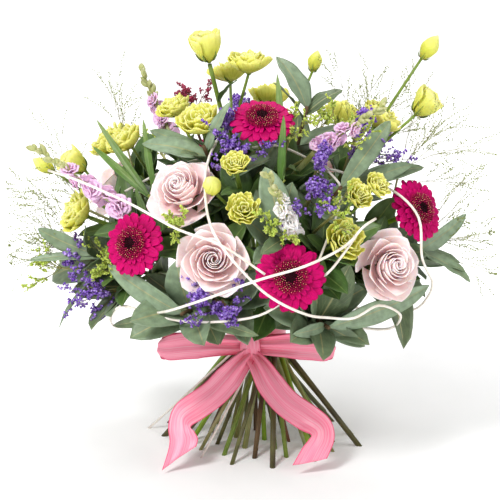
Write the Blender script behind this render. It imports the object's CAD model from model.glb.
# %% [markdown]
# # A hand-tied flower bouquet
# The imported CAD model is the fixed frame: it says where every stem, bloom and spray stands. This script
# dresses it. Each CAD node is replaced by finer pieces that keep its place and its form.
# A florist builds such a bouquet as a spiral: every stem is laid at the same slant, so that all of them cross
# at one binding point and the bundle stands on its cut ends.

# %% Load the frame
import math
import random

import bmesh
import bpy
from mathutils import Matrix, Vector
from mathutils.bvhtree import BVHTree


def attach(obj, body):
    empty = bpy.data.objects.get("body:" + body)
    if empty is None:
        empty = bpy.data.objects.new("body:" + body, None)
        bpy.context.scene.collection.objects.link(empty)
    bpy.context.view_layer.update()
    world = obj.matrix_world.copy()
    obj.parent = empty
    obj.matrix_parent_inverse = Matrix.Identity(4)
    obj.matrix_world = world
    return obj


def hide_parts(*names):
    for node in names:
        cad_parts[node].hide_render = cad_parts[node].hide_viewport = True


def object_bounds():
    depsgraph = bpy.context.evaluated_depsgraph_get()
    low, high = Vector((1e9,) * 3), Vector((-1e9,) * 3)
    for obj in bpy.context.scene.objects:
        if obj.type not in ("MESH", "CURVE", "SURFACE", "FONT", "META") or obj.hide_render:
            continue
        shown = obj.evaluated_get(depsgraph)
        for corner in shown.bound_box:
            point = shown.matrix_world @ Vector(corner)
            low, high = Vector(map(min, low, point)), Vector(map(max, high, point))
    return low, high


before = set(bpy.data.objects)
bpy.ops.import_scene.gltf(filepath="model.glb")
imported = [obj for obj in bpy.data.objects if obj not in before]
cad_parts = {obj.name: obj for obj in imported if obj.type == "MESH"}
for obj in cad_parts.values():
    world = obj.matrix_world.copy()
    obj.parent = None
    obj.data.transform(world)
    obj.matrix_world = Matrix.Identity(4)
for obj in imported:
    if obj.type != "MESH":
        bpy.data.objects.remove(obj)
cad_box = [list(corner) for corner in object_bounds()]
MM = 0.001
print("nodes:", len(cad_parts), "box in mm:", [[round(x / MM) for x in corner] for corner in cad_box])

# %% [markdown]
# ## The floor, the lights and the camera
# The photograph is a catalogue picture: white all round, lit softly from above and a little from the left,
# with only a faint shadow at the foot. One big soft lamp gives the direction, a weaker one opens the shadows,
# and a white world does the rest. The paper floor runs out so far that no horizon shows, from any side.

# %% Floor
FLOOR_RADIUS = 14.0  # metres
bm = bmesh.new()
bmesh.ops.create_circle(bm, cap_ends=True, segments=96, radius=FLOOR_RADIUS)
floor_mesh = bpy.data.meshes.new("floor")
bm.to_mesh(floor_mesh)
bm.free()
floor = bpy.data.objects.new("floor", floor_mesh)
bpy.context.scene.collection.objects.link(floor)
print("floor:", FLOOR_RADIUS * 2, "m across")

# %% Lights and camera
scene = bpy.context.scene
scene.view_settings.view_transform = "Standard"
scene.world = bpy.data.worlds.new("white_studio")
scene.world.use_nodes = True
sky = scene.world.node_tree.nodes["Background"].inputs
sky["Color"].default_value = (1.0, 1.0, 1.0, 1.0)
sky["Strength"].default_value = 0.5


def aim(thing, place, target):
    """Puts a lamp or the camera at a place, looking at a target."""
    thing.location = place
    thing.rotation_mode = "QUATERNION"
    thing.rotation_quaternion = (Vector(target) - Vector(place)).to_track_quat("-Z", "Y")


# Each softbox: its place and its width in metres, and its power in watts.
for name, place, size, power in (("key_softbox", (-1.1, -1.5, 1.9), 0.6, 44),
                                 ("fill_softbox", (1.7, -1.3, 0.9), 1.2, 8),
                                 ("top_softbox", (0.2, 0.7, 1.8), 0.8, 13)):
    lamp = bpy.data.lights.new(name, "AREA")
    lamp.size = size
    lamp.energy = power
    holder = bpy.data.objects.new(name, lamp)
    scene.collection.objects.link(holder)
    aim(holder, place, (0, 0, 0.2))

AIM = Vector((-0.0014, 0.0048, 0.187))
ELEVATION = math.radians(15)
DISTANCE = 1.9
VIEW_WIDTH = 0.48  # metres across the photograph, at the bouquet
FILM_WIDTH = 36  # millimetres, Blender's own
camera = bpy.data.objects.new("camera", bpy.data.cameras.new("camera"))
camera.data.lens = FILM_WIDTH * DISTANCE / VIEW_WIDTH
scene.collection.objects.link(camera)
scene.camera = camera
aim(camera, AIM + DISTANCE * Vector((0, -math.cos(ELEVATION), math.sin(ELEVATION))), AIM)
print("camera lens:", round(camera.data.lens), "mm")

# %% [markdown]
# ## Where things stand
# These are the florist's own measures, the same ones that the CAD source uses: heads are placed as seen from
# the tie, by azimuth (0 is the front, 90 the right), lean from upright, and reach in millimetres.

# %% Places
TIE = Vector((4.6 * MM, 4.8 * MM, 105 * MM))
FOOT_SPREAD = 92 * MM
WAIST_RADIUS = 18 * MM
WIDEST_LEAN = 75
SPIRAL_TURN = 74
GOLDEN_ANGLE = 137.5  # degrees from one leaf or floret to the next on a growing stem
HEART = TIE + Vector((0, 0, 45 * MM))
GAP = 0.45 * MM
TWINE_RADIUS = 1.2 * MM

FLOWERS = {
    "rose_1": (-28, 40, 228, 31, None),
    "rose_2": (-13, 56, 214, 30, (-6, 20)),
    "rose_3": (43, 60, 207, 30, (30, 18)),
    "rose_4": (150, 52, 215, 30, None),
    "rose_5": (-122, 54, 215, 31, None),
    "gerbera_1": (-38, 55, 220, 30, (-30, 22)),
    "gerbera_2": (9, 60, 214, 32, (4, 24)),
    "gerbera_3": (62, 50, 222, 31, (46, 26)),
    "gerbera_4": (3, 21, 246, 31, (2, 60)),
    "gerbera_5": (-165, 50, 220, 31, None),
}
LISIANTHUS = {
    "lisianthus_1": (("bloom", -70, 53, 228, 23), ("tulip", -79, 45, 255, 13), ("bud", -84, 50, 272, 8)),
    "lisianthus_2": (("bloom", -92, 37, 240, 23), ("bloom", -70, 33, 243, 18)),
    "lisianthus_3": (("tulip", -72, 10, 296, 15), ("bloom", -32, 3, 272, 19), ("bloom", -150, 12, 258, 18)),
    "lisianthus_4": (("bloom", -35, 22, 246, 20), ("bloom", -68, 20, 246, 16)),
    "lisianthus_5": (("bloom", -8, 35, 244, 12), ("bloom", -4, 45, 232, 15), ("bud", -14, 45, 252, 9)),
    "lisianthus_6": (("bloom", 28, 52, 216, 21), ("bloom", 36, 43, 230, 13), ("bloom", 45, 42, 233, 12)),
    "lisianthus_7": (("bloom", 84, 29, 250, 23), ("tulip", 82, 35, 288, 14), ("bud", 84, 30, 334, 9)),
    "lisianthus_8": (("bloom", 172, 24, 240, 22), ("bloom", 135, 32, 238, 20), ("bud", 155, 30, 290, 8)),
}
print("roses and gerberas:", len(FLOWERS), "lisianthus stems:", len(LISIANTHUS))

# %% Places of stocks and sprays
STOCKS = {
    "stock_1": ((-50, 47, 214), (-92, 36), 98, 7, 10),
    "stock_2": ((31, 28, 228), (75, 35), 72, 5, 9),
    "stock_3": ((12, 50, 212), (-38, 58), 74, 6, 8),
    "stock_4": ((-135, 34, 212), (-135, 55), 76, 5, 9),
}
SEA_LAVENDER = {
    "sea_lavender_1": ((-62, 68, 192, 30), (-72, 62, 205, 24)),
    "sea_lavender_2": ((-10, 28, 242, 26), (-18, 20, 240, 20)),
    "sea_lavender_3": ((20, 40, 238, 28), (26, 33, 240, 20)),
    "sea_lavender_4": ((-9, 66, 196, 24), (-17, 63, 198, 22)),
    "sea_lavender_5": ((58, 32, 242, 28), (66, 26, 244, 20)),
    "sea_lavender_6": ((125, 40, 236, 28), (-172, 33, 238, 24)),
}
PENNY_CRESS = {
    "penny_cress_1": ((19, 22, 258, 24), (46, 28, 254, 22)),
    "penny_cress_2": ((-53, 61, 206, 22), (-80, 66, 222, 24)),
    "penny_cress_3": ((-25, 49, 236, 18), (-95, 29, 266, 26)),
    "penny_cress_4": ((24, 47, 240, 18), (4, 55, 226, 16)),
    "penny_cress_5": ((-142, 46, 236, 24), (150, 40, 240, 22)),
}
FOUNTAIN_GRASS = {
    "fountain_grass_1": ((-84, 52, 255, 62), (-80, 63, 235, 52), (-92, 34, 262, 58)),
    "fountain_grass_2": ((79, 58, 240, 60), (82, 45, 262, 62), (93, 20, 250, 52)),
}
ASTILBE = {"astilbe": ((-112, 18, 244, 24),)}
print("stocks:", len(STOCKS), "sea lavender:", len(SEA_LAVENDER), "penny-cress:", len(PENNY_CRESS))

# %% Places of leafy stems and canes
EUCALYPTUS = {
    "eucalyptus_1": (((-26, 28, 232), (-88, 22, 246, 20), (-24, 16, 252, 14), (-62, 33, 240, 26),
                      (-80, 30, 250, 24), (-30, 40, 236, 22)),),
    "eucalyptus_2": (((-24, 69, 176), (-45, 60, 216, 24), (-19, 79, 158, 16), (-66, 80, 170, 15),
                      (4, 70, 192, 17)),),
    "eucalyptus_3": (((8, 50, 212), (-6, 40, 240, 32), (-6, 57, 222, 17)),),
    "eucalyptus_4": (((31, 40, 226), (86, 39, 262, 22), (82, 50, 244, 18), (66, 50, 236, 20)),),
    "eucalyptus_5": (((66, 60, 196), (69, 73, 230, 22), (62, 78, 212, 17), (84, 58, 246, 20)),
                     ((118, 70, 168), (104, 74, 222, 24), (128, 68, 224, 24), (120, 84, 190, 20))),
    "eucalyptus_6": (((25, 73, 160), (66, 74, 188, 22), (9, 74, 176, 15), (38, 82, 172, 18)),),
    "eucalyptus_7": (((-68, 60, 190), (-82, 62, 246, 20), (-42, 50, 238, 20), (-76, 71, 258, 14),
                      (-66, 84, 208, 14)),
                     ((-122, 70, 168), (-104, 74, 222, 22), (-130, 66, 226, 24), (-120, 84, 192, 20))),
    "eucalyptus_8": (((64, 13, 232), (120, 5, 268, 28), (94, 20, 256, 22), (10, 8, 262, 20)),
                     ((178, 56, 200), (165, 46, 242, 24), (-160, 68, 222, 24), (172, 76, 208, 24))),
}
GRASS = {
    "grass_blades": (((-48, 40, 205), (-89, 31, 280, 8), (-97, 36, 256, 9), (-62, 28, 250, 8)),
                     ((12, 34, 214), (50, 10, 266, 9), (0, 22, 262, 7))),
}
CANES = {
    "cane_1": (((56, 79), (52, 74), (39, 69), (29, 71), (20, 70), (13, 69), (5, 66), (-1, 62), (-9, 55),
                (-14, 48), (-18, 39), (-21, 31), (-29, 20), (-75, 12), (-135, 10)),
               ((-69, 49), (-48, 49), (-33, 50), (-20, 53), (-9, 55), (2, 60))),
    "cane_2": (((84, 80), (80, 75), (70, 69), (60, 64), (53, 60), (55, 52), (56, 44), (54, 36), (49, 30),
                (43, 27), (21, 18), (-5, 18), (-29, 20), (-50, 26), (-59, 32), (-68, 41)),
               ((43, 27), (42, 35), (33, 42), (27, 47), (18, 57), (14, 61))),
    "cane_3": (((-58, 79), (-54, 75), (-44, 70), (-33, 70), (-17, 67), (0, 62), (12, 59), (24, 55), (32, 51),
                (39, 49)),
               ((-44, 70), (-22, 71), (-2, 69), (8, 65), (19, 60), (23, 57), (30, 52))),
}
STEM_RADII = {
    "rose": 2.7, "gerbera": 2.4, "lisianthus": 2.2, "stock": 2.7, "sea": 2.0, "penny": 1.8, "fountain": 1.8,
    "astilbe": 1.8, "eucalyptus": 2.4, "grass": 2.0, "cane": 1.4,
}
# How far a flower's base lies behind its face, for a radius of 1.
DEPTHS = {"rose": 0.84, "gerbera": 0.23, "bloom": 0.86, "tulip": 1.7, "bud": 3.0}
print("leafy stems:", len(EUCALYPTUS) + len(GRASS), "canes:", len(CANES))

# %% [markdown]
# A few helpers turn those measures into points and matrices. A bloom's face and its way of looking are what
# the photograph shows, so its base is reckoned back from them. Every shape is drawn standing on +Z, and a
# matrix then stands it on its stem.

# %% From measures to points
def kind_of(name):
    """The plant that a node's name begins with."""
    return name.split("_")[0]


def polar(azimuth, lean, reach):
    """The point at this azimuth and lean in degrees, and this reach in millimetres, seen from the tie."""
    turn = math.radians(azimuth)
    tilt = math.radians(lean)
    across = math.sin(tilt)
    return TIE + reach * MM * Vector((across * math.sin(turn), -across * math.cos(turn), math.cos(tilt)))


def looking(azimuth, height):
    """The direction that looks to this azimuth, this many degrees above the horizon."""
    turn = math.radians(azimuth)
    rise = math.radians(height)
    return Vector((math.cos(rise) * math.sin(turn), -math.cos(rise) * math.cos(turn), math.sin(rise)))


def frame_at(point, axis, roll=0.0):
    """A matrix that stands a shape drawn along +Z at this point, along this axis."""
    turn = axis.normalized().to_track_quat("Z", "Y").to_matrix().to_4x4()
    return Matrix.Translation(point) @ turn @ Matrix.Rotation(math.radians(roll), 4, "Z")


# %% Where blooms stand
def head_frame(azimuth, lean, reach, look, depth):
    """Where a bloom stands: its face is at the polar place, and its base lies this depth behind it."""
    face = polar(azimuth, lean, reach)
    axis = looking(*look) if look else (face - HEART).normalized()
    return frame_at(face - axis * depth * MM, axis)


def flower_base(name):
    """Where a rose or a gerbera stands."""
    azimuth, lean, reach, size, look = FLOWERS[name]
    return head_frame(azimuth, lean, reach, look, size * DEPTHS[kind_of(name)])


def up_from(base, heights):
    """Points on a shape's own axis, at these heights in millimetres."""
    return [base @ Vector((0, 0, height * MM)) for height in heights]


def side_way(axis, turn):
    """A direction square to this axis, turned this far round it."""
    return Matrix.Rotation(turn, 3, axis) @ axis.orthogonal().normalized()


def sized(wide, high=None):
    """A matrix that makes a template this wide, and this high where that differs."""
    return Matrix.Diagonal((wide, wide, high or wide, 1))


def ring_point(base, radius, angle, height):
    """The point of a shape at this radius, angle and height, in millimetres from its base."""
    return base @ (Vector((radius * math.cos(angle), radius * math.sin(angle), height)) * MM)


def through(a, b, c, v):
    """The smooth line through a, b and c, at v from 0 to 1."""
    return a * (1 - v) * (1 - 2 * v) + b * 4 * v * (1 - v) + c * v * (2 * v - 1)


print("rose_1 stands", round((flower_base("rose_1").translation - TIE).length / MM), "mm from the tie")

# %% [markdown]
# ## The spiral bundle
# A stem runs straight from its cut end to the tie. Leaning all stems the same way round puts them on the
# rulings of a hyperboloid, which is why a spiral bundle never tangles. They are pulled in at the tie until
# they touch, and above it they bend out to their heads, clear of each other. This is the CAD source's own
# rule, worked out again, so the round stems drawn here lie inside the plain ones of the frame.

# %% Packing the stems at the tie
SLOPE = math.sqrt((FOOT_SPREAD / WAIST_RADIUS) ** 2 - 1) / TIE.z


def lean_at(waist):
    """How far a stem moves sideways for each metre that it rises through the tie."""
    return Vector((-waist.y, waist.x, 0)) * SLOPE


def pack_bundle(wanted, radii):
    """Pulls the stems together at the tie until they touch, from the places that their heads ask for."""
    places = {name: spot.copy() for name, spot in wanted.items()}
    names = sorted(places)
    rounds = 500
    for count in range(rounds):
        pull = 0.012 * max(0.0, 1 - count / (0.8 * rounds))  # dies away, so that the pack comes to rest
        for name in names:
            places[name] *= 1 - pull
        for i, first in enumerate(names):
            for second in names[i + 1:]:
                apart = places[second] - places[first]
                run = lean_at((places[first] + places[second]) / 2)
                along = apart.dot(run) ** 2 / (1 + run.length_squared)
                clear = math.sqrt(max(apart.length_squared - along, 1e-12))
                short = radii[first] + radii[second] + GAP - clear
                if short > 0:
                    push = apart * (0.5 * short / clear)
                    places[first] -= push
                    places[second] += push
    return places


edge = Vector((WAIST_RADIUS, 0, 0))
print("the outermost stems lean", round(math.degrees(math.atan(lean_at(edge).length))), "degrees")

# %% [markdown]
# Above the tie every stem is bent to its head. Two stems that would cross are pushed apart, a little at a
# time and in turn, as fingers ease them in the hand, and so is a stem that would run into a bloom. Balls
# stand for the blooms.

# %% Bending the stems apart
def stem_line(waist, head, outward):
    """A stem's points: its cut end, where its straight run through the tie ends, and the bend to its head."""
    run = lean_at(waist)
    below = TIE.z + 8 * MM  # a little past the floor, where it is cut off level later
    above = 15 * MM
    foot = TIE + waist - (run + Vector((0, 0, 1))) * below
    start = TIE + waist + (run + Vector((0, 0, 1))) * above
    rise = (run + Vector((0, 0, 1))).normalized()
    length = (head - start).length
    bends = (start, start + rise * length * 0.36, head - outward.normalized() * length * 0.30, head)
    points = [foot]
    for count in range(4):
        t = count / 3
        weights = ((1 - t) ** 3, 3 * t * (1 - t) ** 2, 3 * t * t * (1 - t), t ** 3)
        points.append(sum((w * b for w, b in zip(weights, bends)), Vector()))
    return points


def nearest_between(a, b, c, d):
    """How far along a-b and along c-d these two straight runs come nearest, each from 0 to 1."""
    first = b - a
    second = d - c
    across = a - c
    aa = first.length_squared
    bb = first.dot(second)
    cc = second.length_squared
    dd = first.dot(across)
    ee = second.dot(across)
    under = aa * cc - bb * bb
    s = min(max((bb * ee - cc * dd) / under, 0), 1) if under > 1e-14 else 0.5
    t = min(max((bb * s + ee) / cc, 0), 1)
    s = min(max((bb * t - dd) / aa, 0), 1)
    return s, t


def shove(line, at, share, push, held):
    """Moves the ends of one run of a stem, but not its straight part, nor its head where that is held."""
    last = len(line) - 1
    if at > 1:
        line[at] += push * (1 - share)
    if at + 1 < last or not held:
        line[at + 1] += push * share


EASE = 0.6  # each push does this share of what is needed


def part_stems(lines, radii, blocks, held):
    """Bends the stems clear of each other above the tie, and of the blooms, given as balls with owners."""
    names = sorted(lines)
    for _ in range(60):
        for i, first in enumerate(names):
            a = lines[first]
            for second in names[i + 1:]:
                b = lines[second]
                need = radii[first] + radii[second] + 2 * GAP
                for j in range(1, 4):
                    for k in range(1, 4):
                        s, t = nearest_between(a[j], a[j + 1], b[k], b[k + 1])
                        apart = b[k].lerp(b[k + 1], t) - a[j].lerp(a[j + 1], s)
                        far = apart.length
                        if far >= need:
                            continue
                        push = apart * ((need - far) / max(far, 1e-6) * EASE)
                        shove(a, j, s, -push, first in held)
                        shove(b, k, t, push, second in held)
            for owner, centre, size in blocks:
                if owner == first:
                    continue
                for j in range(1, 4):
                    step = a[j + 1] - a[j]
                    s = min(max((centre - a[j]).dot(step) / step.length_squared, 0), 1)
                    apart = a[j].lerp(a[j + 1], s) - centre
                    need = size + radii[first] + GAP
                    if apart.length < need:
                        push = apart * ((need - apart.length) / max(apart.length, 1e-6) * EASE)
                        shove(a, j, s, push, first in held)


def bloom_balls(owner, base, form, size):
    """The balls that stand for a bloom while the stems are bent clear of it."""
    forms = {
        "rose": ((0.72, 0, 0.80), (0.30, 0, 0.45)),
        "gerbera": ((0.12, 0, 0.34), (0.18, 0.62, 0.34)),
        "bloom": ((0.55, 0, 0.80),),
        "tulip": ((1.0, 0, 0.85),),
        "bud": ((1.8, 0, 1.1),),
    }
    for height, out, ball in forms[form]:
        for index in range(7 if out else 1):
            turn = index * math.tau / 7
            at = Vector((out * math.cos(turn), out * math.sin(turn), height)) * size * MM
            yield owner, base @ at, ball * size * MM


# %% Arranging the stems
def arrange():
    """Where every stem's head is and which way it points, and the balls that stand for the blooms."""
    heads = {}
    balls = []
    for name, (azimuth, lean, _, size, _) in FLOWERS.items():
        base = flower_base(name)
        heads[name + "_stem"] = (azimuth, lean, base @ Vector((0, 0, -8 * MM)), base.col[2].to_3d())
        balls += bloom_balls(name + "_stem", base, kind_of(name), size)
    for name, blooms in LISIANTHUS.items():
        for index, (form, azimuth, lean, reach, size) in enumerate(blooms):
            base = head_frame(azimuth, lean, reach, None, DEPTHS[form] * size)
            if index == 0:
                heads[name] = (azimuth, lean, base @ Vector((0, 0, -2 * MM)), base.col[2].to_3d())
            balls += bloom_balls(name, base, form, size)
    for name, (foot, point, length, _, size) in STOCKS.items():
        axis = looking(*point)
        start = polar(*foot)
        heads[name] = (foot[0], foot[1], start, axis)
        balls += [(name, start + axis * length * share * MM, size * 0.9 * MM) for share in (0.2, 0.45, 0.7)]
    for table in (SEA_LAVENDER, PENNY_CRESS, FOUNTAIN_GRASS, ASTILBE):
        for name, tufts in table.items():
            azimuth, lean, reach, size = tufts[0]
            end = polar(azimuth, lean, reach - size * 0.8)
            heads[name] = (azimuth, lean, end, end - HEART)
    for table in (EUCALYPTUS, GRASS):
        for name, branches in table.items():
            end = polar(*branches[0][0])
            heads[name] = (branches[0][0][0], branches[0][0][1], end, end - HEART)
    for name, paths in CANES.items():
        azimuth, lean = paths[0][0]
        end = polar(azimuth, lean, 200 - (lean - 64) * 2.6)
        heads[name] = (azimuth, lean, end, looking(azimuth, 30))
    return heads, balls


heads, balls = arrange()
radii = {name: STEM_RADII[kind_of(name)] * MM for name in heads}
wanted = {name: looking(azimuth - SPIRAL_TURN, 0) * WAIST_RADIUS * min(lean / WIDEST_LEAN, 1)
          for name, (azimuth, lean, _, _) in heads.items()}
waists = pack_bundle(wanted, radii)
lines = {name: stem_line(waists[name], head, outward) for name, (_, _, head, outward) in heads.items()}
held = {name for name in lines if kind_of(name) in ("rose", "gerbera", "lisianthus", "stock", "cane")}
part_stems(lines, radii, balls, held)
spread = max(line[0].xy.length for line in lines.values())
print("stems:", len(lines), "widest cut end:", round(spread / MM), "mm")

# %% [markdown]
# ## Finding what the frame holds
# The CAD source nudges a side shoot or a leaf until it is clear of its neighbours. To lie in the same place,
# each piece here tries the same nudges and keeps the one whose test points lie nearest to its node's surface.

# %% Matching a node
trees = {}
for name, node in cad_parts.items():
    corners = [vert.co.copy() for vert in node.data.vertices]
    trees[name] = BVHTree.FromPolygons(corners, [face.vertices[:] for face in node.data.polygons])
print("surfaces to match:", len(trees))


def best_match(node, probe, choices, limit=2.0):
    """The choice whose probe points lie nearest to the node's surface, or None if all are over the limit."""
    best, best_gap = None, limit * MM
    for choice in choices:
        points = probe(choice)
        gap = sum(trees[node].find_nearest(point)[3] for point in points) / len(points)
        if gap < best_gap:
            best, best_gap = choice, gap
    return best


def nudges(place_at):
    """The polar place asked for, then others near it."""
    azimuth, lean, reach = place_at
    steps = ((0, 0, 0), (0, 0, 6), (3, 0, 2), (-3, 0, 2), (0, 3, 2), (0, -3, 2), (0, 0, 12), (6, 0, 5),
             (-6, 0, 5), (0, 6, 4), (0, -6, 4), (5, 5, 9), (-5, -5, 9), (5, -5, 9), (-5, 5, 9), (0, 0, 18),
             (9, 0, 12), (-9, 0, 12), (0, -9, 14))
    for turn, tilt, lift in steps:
        yield azimuth + turn, lean + tilt, reach + lift


def point_on(points, share):
    """The point and direction this share of the way from the tie to a stem's end."""
    above = points[1:]
    along = share * (len(above) - 1)
    first = min(int(along), len(above) - 2)
    step = above[first + 1] - above[first]
    return above[first] + step * (along - first), step.normalized()


# %% [markdown]
# ## Finishes
# Petals and leaves are thin and full of water, so light goes a little way into them: that is the subsurface
# share of each finish. A petal is never one colour. It pales or deepens from root to rim, its veins run along
# it, and the inner petals of a bloom have seen less sun than the outer ones. The petal's own UV map gives the
# way along it (V, 0 at the root) and across it (U). A `tone` attribute says how far out in the bloom it is.

# %% Colours and nodes
def tint(code):
    """A colour written as #rrggbb, in Blender's linear values."""
    parts = [int(code[at:at + 2], 16) / 255 for at in (1, 3, 5)]
    return [part / 12.92 if part <= 0.04045 else ((part + 0.055) / 1.055) ** 2.4 for part in parts] + [1.0]


def add_node(tree, kind, inputs=None, stops=None, out=0, **settings):
    """Adds a node and gives back one of its outputs. An input is set to a value or linked to an output."""
    node = tree.nodes.new("ShaderNode" + kind)
    for key, value in settings.items():
        setattr(node, key, value)
    for key, value in (inputs or {}).items():
        if isinstance(value, bpy.types.NodeSocket):
            tree.links.new(value, node.inputs[key])
        else:
            node.inputs[key].default_value = value
    if stops:
        ramp = node.color_ramp
        while len(ramp.elements) < len(stops):
            ramp.elements.new(0.5)
        for element, (place, code) in zip(ramp.elements, stops):
            element.position = place
            element.color = tint(code)
    return node.outputs[out]


def new_finish(name, **settings):
    """A material with one Principled shader, whose plain settings are given by their names."""
    finish = bpy.data.materials.new(name)
    finish.use_nodes = True
    shader = finish.node_tree.nodes["Principled BSDF"]
    for key, value in settings.items():
        shader.inputs[key.replace("_", " ").title()].default_value = value
    return finish, finish.node_tree, shader


def surface(tree, shader, colour, height, strength, distance):
    """Gives a shader its colour, and a relief of this strength from a height, in metres."""
    tree.links.new(colour, shader.inputs["Base Color"])
    relief = add_node(tree, "Bump", {"Height": height, "Strength": strength, "Distance": distance})
    tree.links.new(relief, shader.inputs["Normal"])


# %% The finish of petals and leaves
SKIN_DEPTH = 1.6 * MM  # how far light goes into a petal


def living_finish(name, along, outer, vein, veins, spots, roughness=0.5, glow=0.25, bump=0.25, rib=None,
                  shine=0.5):
    """A petal's or leaf's finish.

    along gives its colours from root to rim, outer is what the outer ones turn to, vein is the colour of the
    veins, and spots is how much the colour varies from place to place. rib is the colour of a leaf's midrib
    and of its side veins. shine is how much white light it mirrors, which is little on velvety petals.
    """
    finish, tree, shader = new_finish(
        name, Roughness=roughness, Subsurface_Weight=glow, Subsurface_Scale=SKIN_DEPTH)
    shader.inputs["Subsurface Radius"].default_value = (1.0, 0.6, 0.4)
    shader.inputs["Specular IOR Level"].default_value = shine
    place = add_node(tree, "UVMap", uv_map="UVMap")
    way = add_node(tree, "SeparateXYZ", {0: place}).node.outputs
    tone = add_node(tree, "Attribute", out="Fac", attribute_name="tone")
    where = add_node(tree, "TexCoord", out="Object")
    base = add_node(tree, "ValToRGB", {"Fac": way["Y"]}, along)
    aged = add_node(tree, "Mix", {"Factor": tone, 6: base, 7: tint(outer)}, out=2, data_type="RGBA")
    shift = add_node(tree, "Math", {0: tone, 1: 37.0}, operation="MULTIPLY")
    shift = add_node(tree, "CombineXYZ", {"Z": shift})
    grain = add_node(tree, "VectorMath", {0: place, 1: (veins, 1.6, 0.0), 2: shift}, operation="MULTIPLY_ADD")
    streak = add_node(tree, "TexNoise", {"Vector": grain, "Scale": 1.0, "Detail": 3.0})
    narrow = add_node(tree, "MapRange", {"Value": streak, 1: 0.5, 2: 0.72, 3: 0.0, 4: 0.7})
    veined = add_node(tree, "Mix", {"Factor": narrow, 6: aged, 7: tint(vein)}, out=2, data_type="RGBA")
    if rib:
        aside = add_node(tree, "Math", {0: way["X"], 1: 0.5}, operation="SUBTRACT")
        aside = add_node(tree, "Math", {0: aside}, operation="ABSOLUTE")
        slant = add_node(tree, "Math", {0: aside, 1: -9.0}, operation="MULTIPLY")
        rise = add_node(tree, "Math", {0: way["Y"], 1: 9.0, 2: slant}, operation="MULTIPLY_ADD")
        teeth = add_node(tree, "Math", {0: rise, 1: 0.5}, operation="PINGPONG")
        side = add_node(tree, "MapRange", {"Value": teeth, 1: 0.0, 2: 0.05, 3: 0.35, 4: 0.0})
        spine = add_node(tree, "MapRange", {"Value": aside, 1: 0.012, 2: 0.035, 3: 0.9, 4: 0.0})
        ribs = add_node(tree, "Math", {0: side, 1: spine}, operation="MAXIMUM")
        veined = add_node(tree, "Mix", {"Factor": ribs, 6: veined, 7: tint(rib)}, out=2, data_type="RGBA")
    patch = add_node(tree, "TexNoise", {"Vector": where, "Scale": 1 / (7 * MM), "Detail": 4.0})
    light = add_node(tree, "MapRange", {"Value": patch, 1: 0.3, 2: 0.7, 3: 1 - spots, 4: 1 + spots})
    mottled = add_node(tree, "HueSaturation", {"Value": light, "Color": veined})
    surface(tree, shader, mottled, streak, bump, 0.4 * MM)
    return finish


print("a finish takes a UV map named UVMap and an attribute named tone")

# %% [markdown]
# Each petal has the skin of its kind. A rose's is velvety, so it has soft light and no hard gleam. The rays
# of a gerbera are grooved and deep in colour. Lisianthus and stock are thin and all but clear at the rim.
# The florets, pods and seeds are dry and dull, and leaves are waxed, so they gleam.

# %% Petal and leaf finishes
# Velvet, blush pink with a deeper heart: light goes in and comes out soft.
rose_finish = living_finish(
    "rose_petal", ((0.0, "#c84862"), (0.38, "#fab2be"), (0.72, "#ffe0e1"), (1.0, "#fff7f5")),
    "#ffe9e7", "#fccdd2", veins=12, spots=0.05, glow=0.4, shine=0.3)
# Grooved rays of deep crimson pink, with next to no gleam, so the colour stays full.
gerbera_finish = living_finish(
    "gerbera_petal", ((0.0, "#60002e"), (0.35, "#aa0052"), (1.0, "#d60070")),
    "#aa0054", "#7c0034", veins=7, roughness=0.6, spots=0.16, glow=0.2, bump=0.5, shine=0.12)
# Disc florets, nearly black where they are shut, which makes the dark eye.
gerbera_heart = living_finish(
    "gerbera_disc_floret", ((0.0, "#3c0618"), (0.6, "#820a32"), (1.0, "#b01850")),
    "#080204", "#4c0a20", veins=5, roughness=0.6, spots=0.3, glow=0.1, shine=0.12)
# Thin lime-yellow frills that pale to the rim, so that each edge shows.
lisianthus_finish = living_finish(
    "lisianthus_petal", ((0.0, "#989a14"), (0.4, "#cdce42"), (0.85, "#eae880"), (1.0, "#f6f2b2")),
    "#e6e26a", "#c0c23c", veins=12, spots=0.10, shine=0.3)
# Lilac petals, creamy in the throat.
stock_finish = living_finish(
    "stock_petal", ((0.0, "#d9d29a"), (0.25, "#ecc4df"), (1.0, "#f5d6ee")),
    "#eec2e4", "#dfa8d4", veins=9, spots=0.12)
# The one white stock, green in the throat.
pale_stock_finish = living_finish(
    "white_stock_petal", ((0.0, "#cfd494"), (0.3, "#eceedd"), (1.0, "#faf6f2")),
    "#f0e6ec", "#dfe2cc", veins=9, spots=0.08)
# Unripe buds: dull green, hardly lit from within.
bud_finish = living_finish(
    "stock_bud", ((0.0, "#9aa05c"), (0.6, "#b9bc7e"), (1.0, "#d9cfb0")),
    "#a9ad6a", "#7f8a4a", veins=5, spots=0.15, glow=0.15)
# Papery violet with a white rim, which reads as a sparkle from afar.
statice_finish = living_finish(
    "sea_lavender_floret", ((0.0, "#3e1c78"), (0.5, "#7a42c2"), (0.78, "#b086ea"), (1.0, "#f4ecff")),
    "#6c34b4", "#dcd2f6", veins=6, roughness=0.7, spots=0.3, glow=0.1, shine=0.15)
# Flat pods of fresh green, dry and dull.
pod_finish = living_finish(
    "penny_cress_pod", ((0.0, "#9fb83c"), (0.5, "#c3d35c"), (1.0, "#d6e07e")),
    "#b2c850", "#8fa63c", veins=6, roughness=0.6, spots=0.2, glow=0.15)
# Olive seeds, dull and small.
seed_finish = living_finish(
    "fountain_grass_seed", ((0.0, "#74883a"), (0.6, "#8c9a46"), (1.0, "#a4a858")),
    "#7d8c42", "#74803f", veins=4, roughness=0.7, spots=0.2, glow=0.1)
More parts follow.
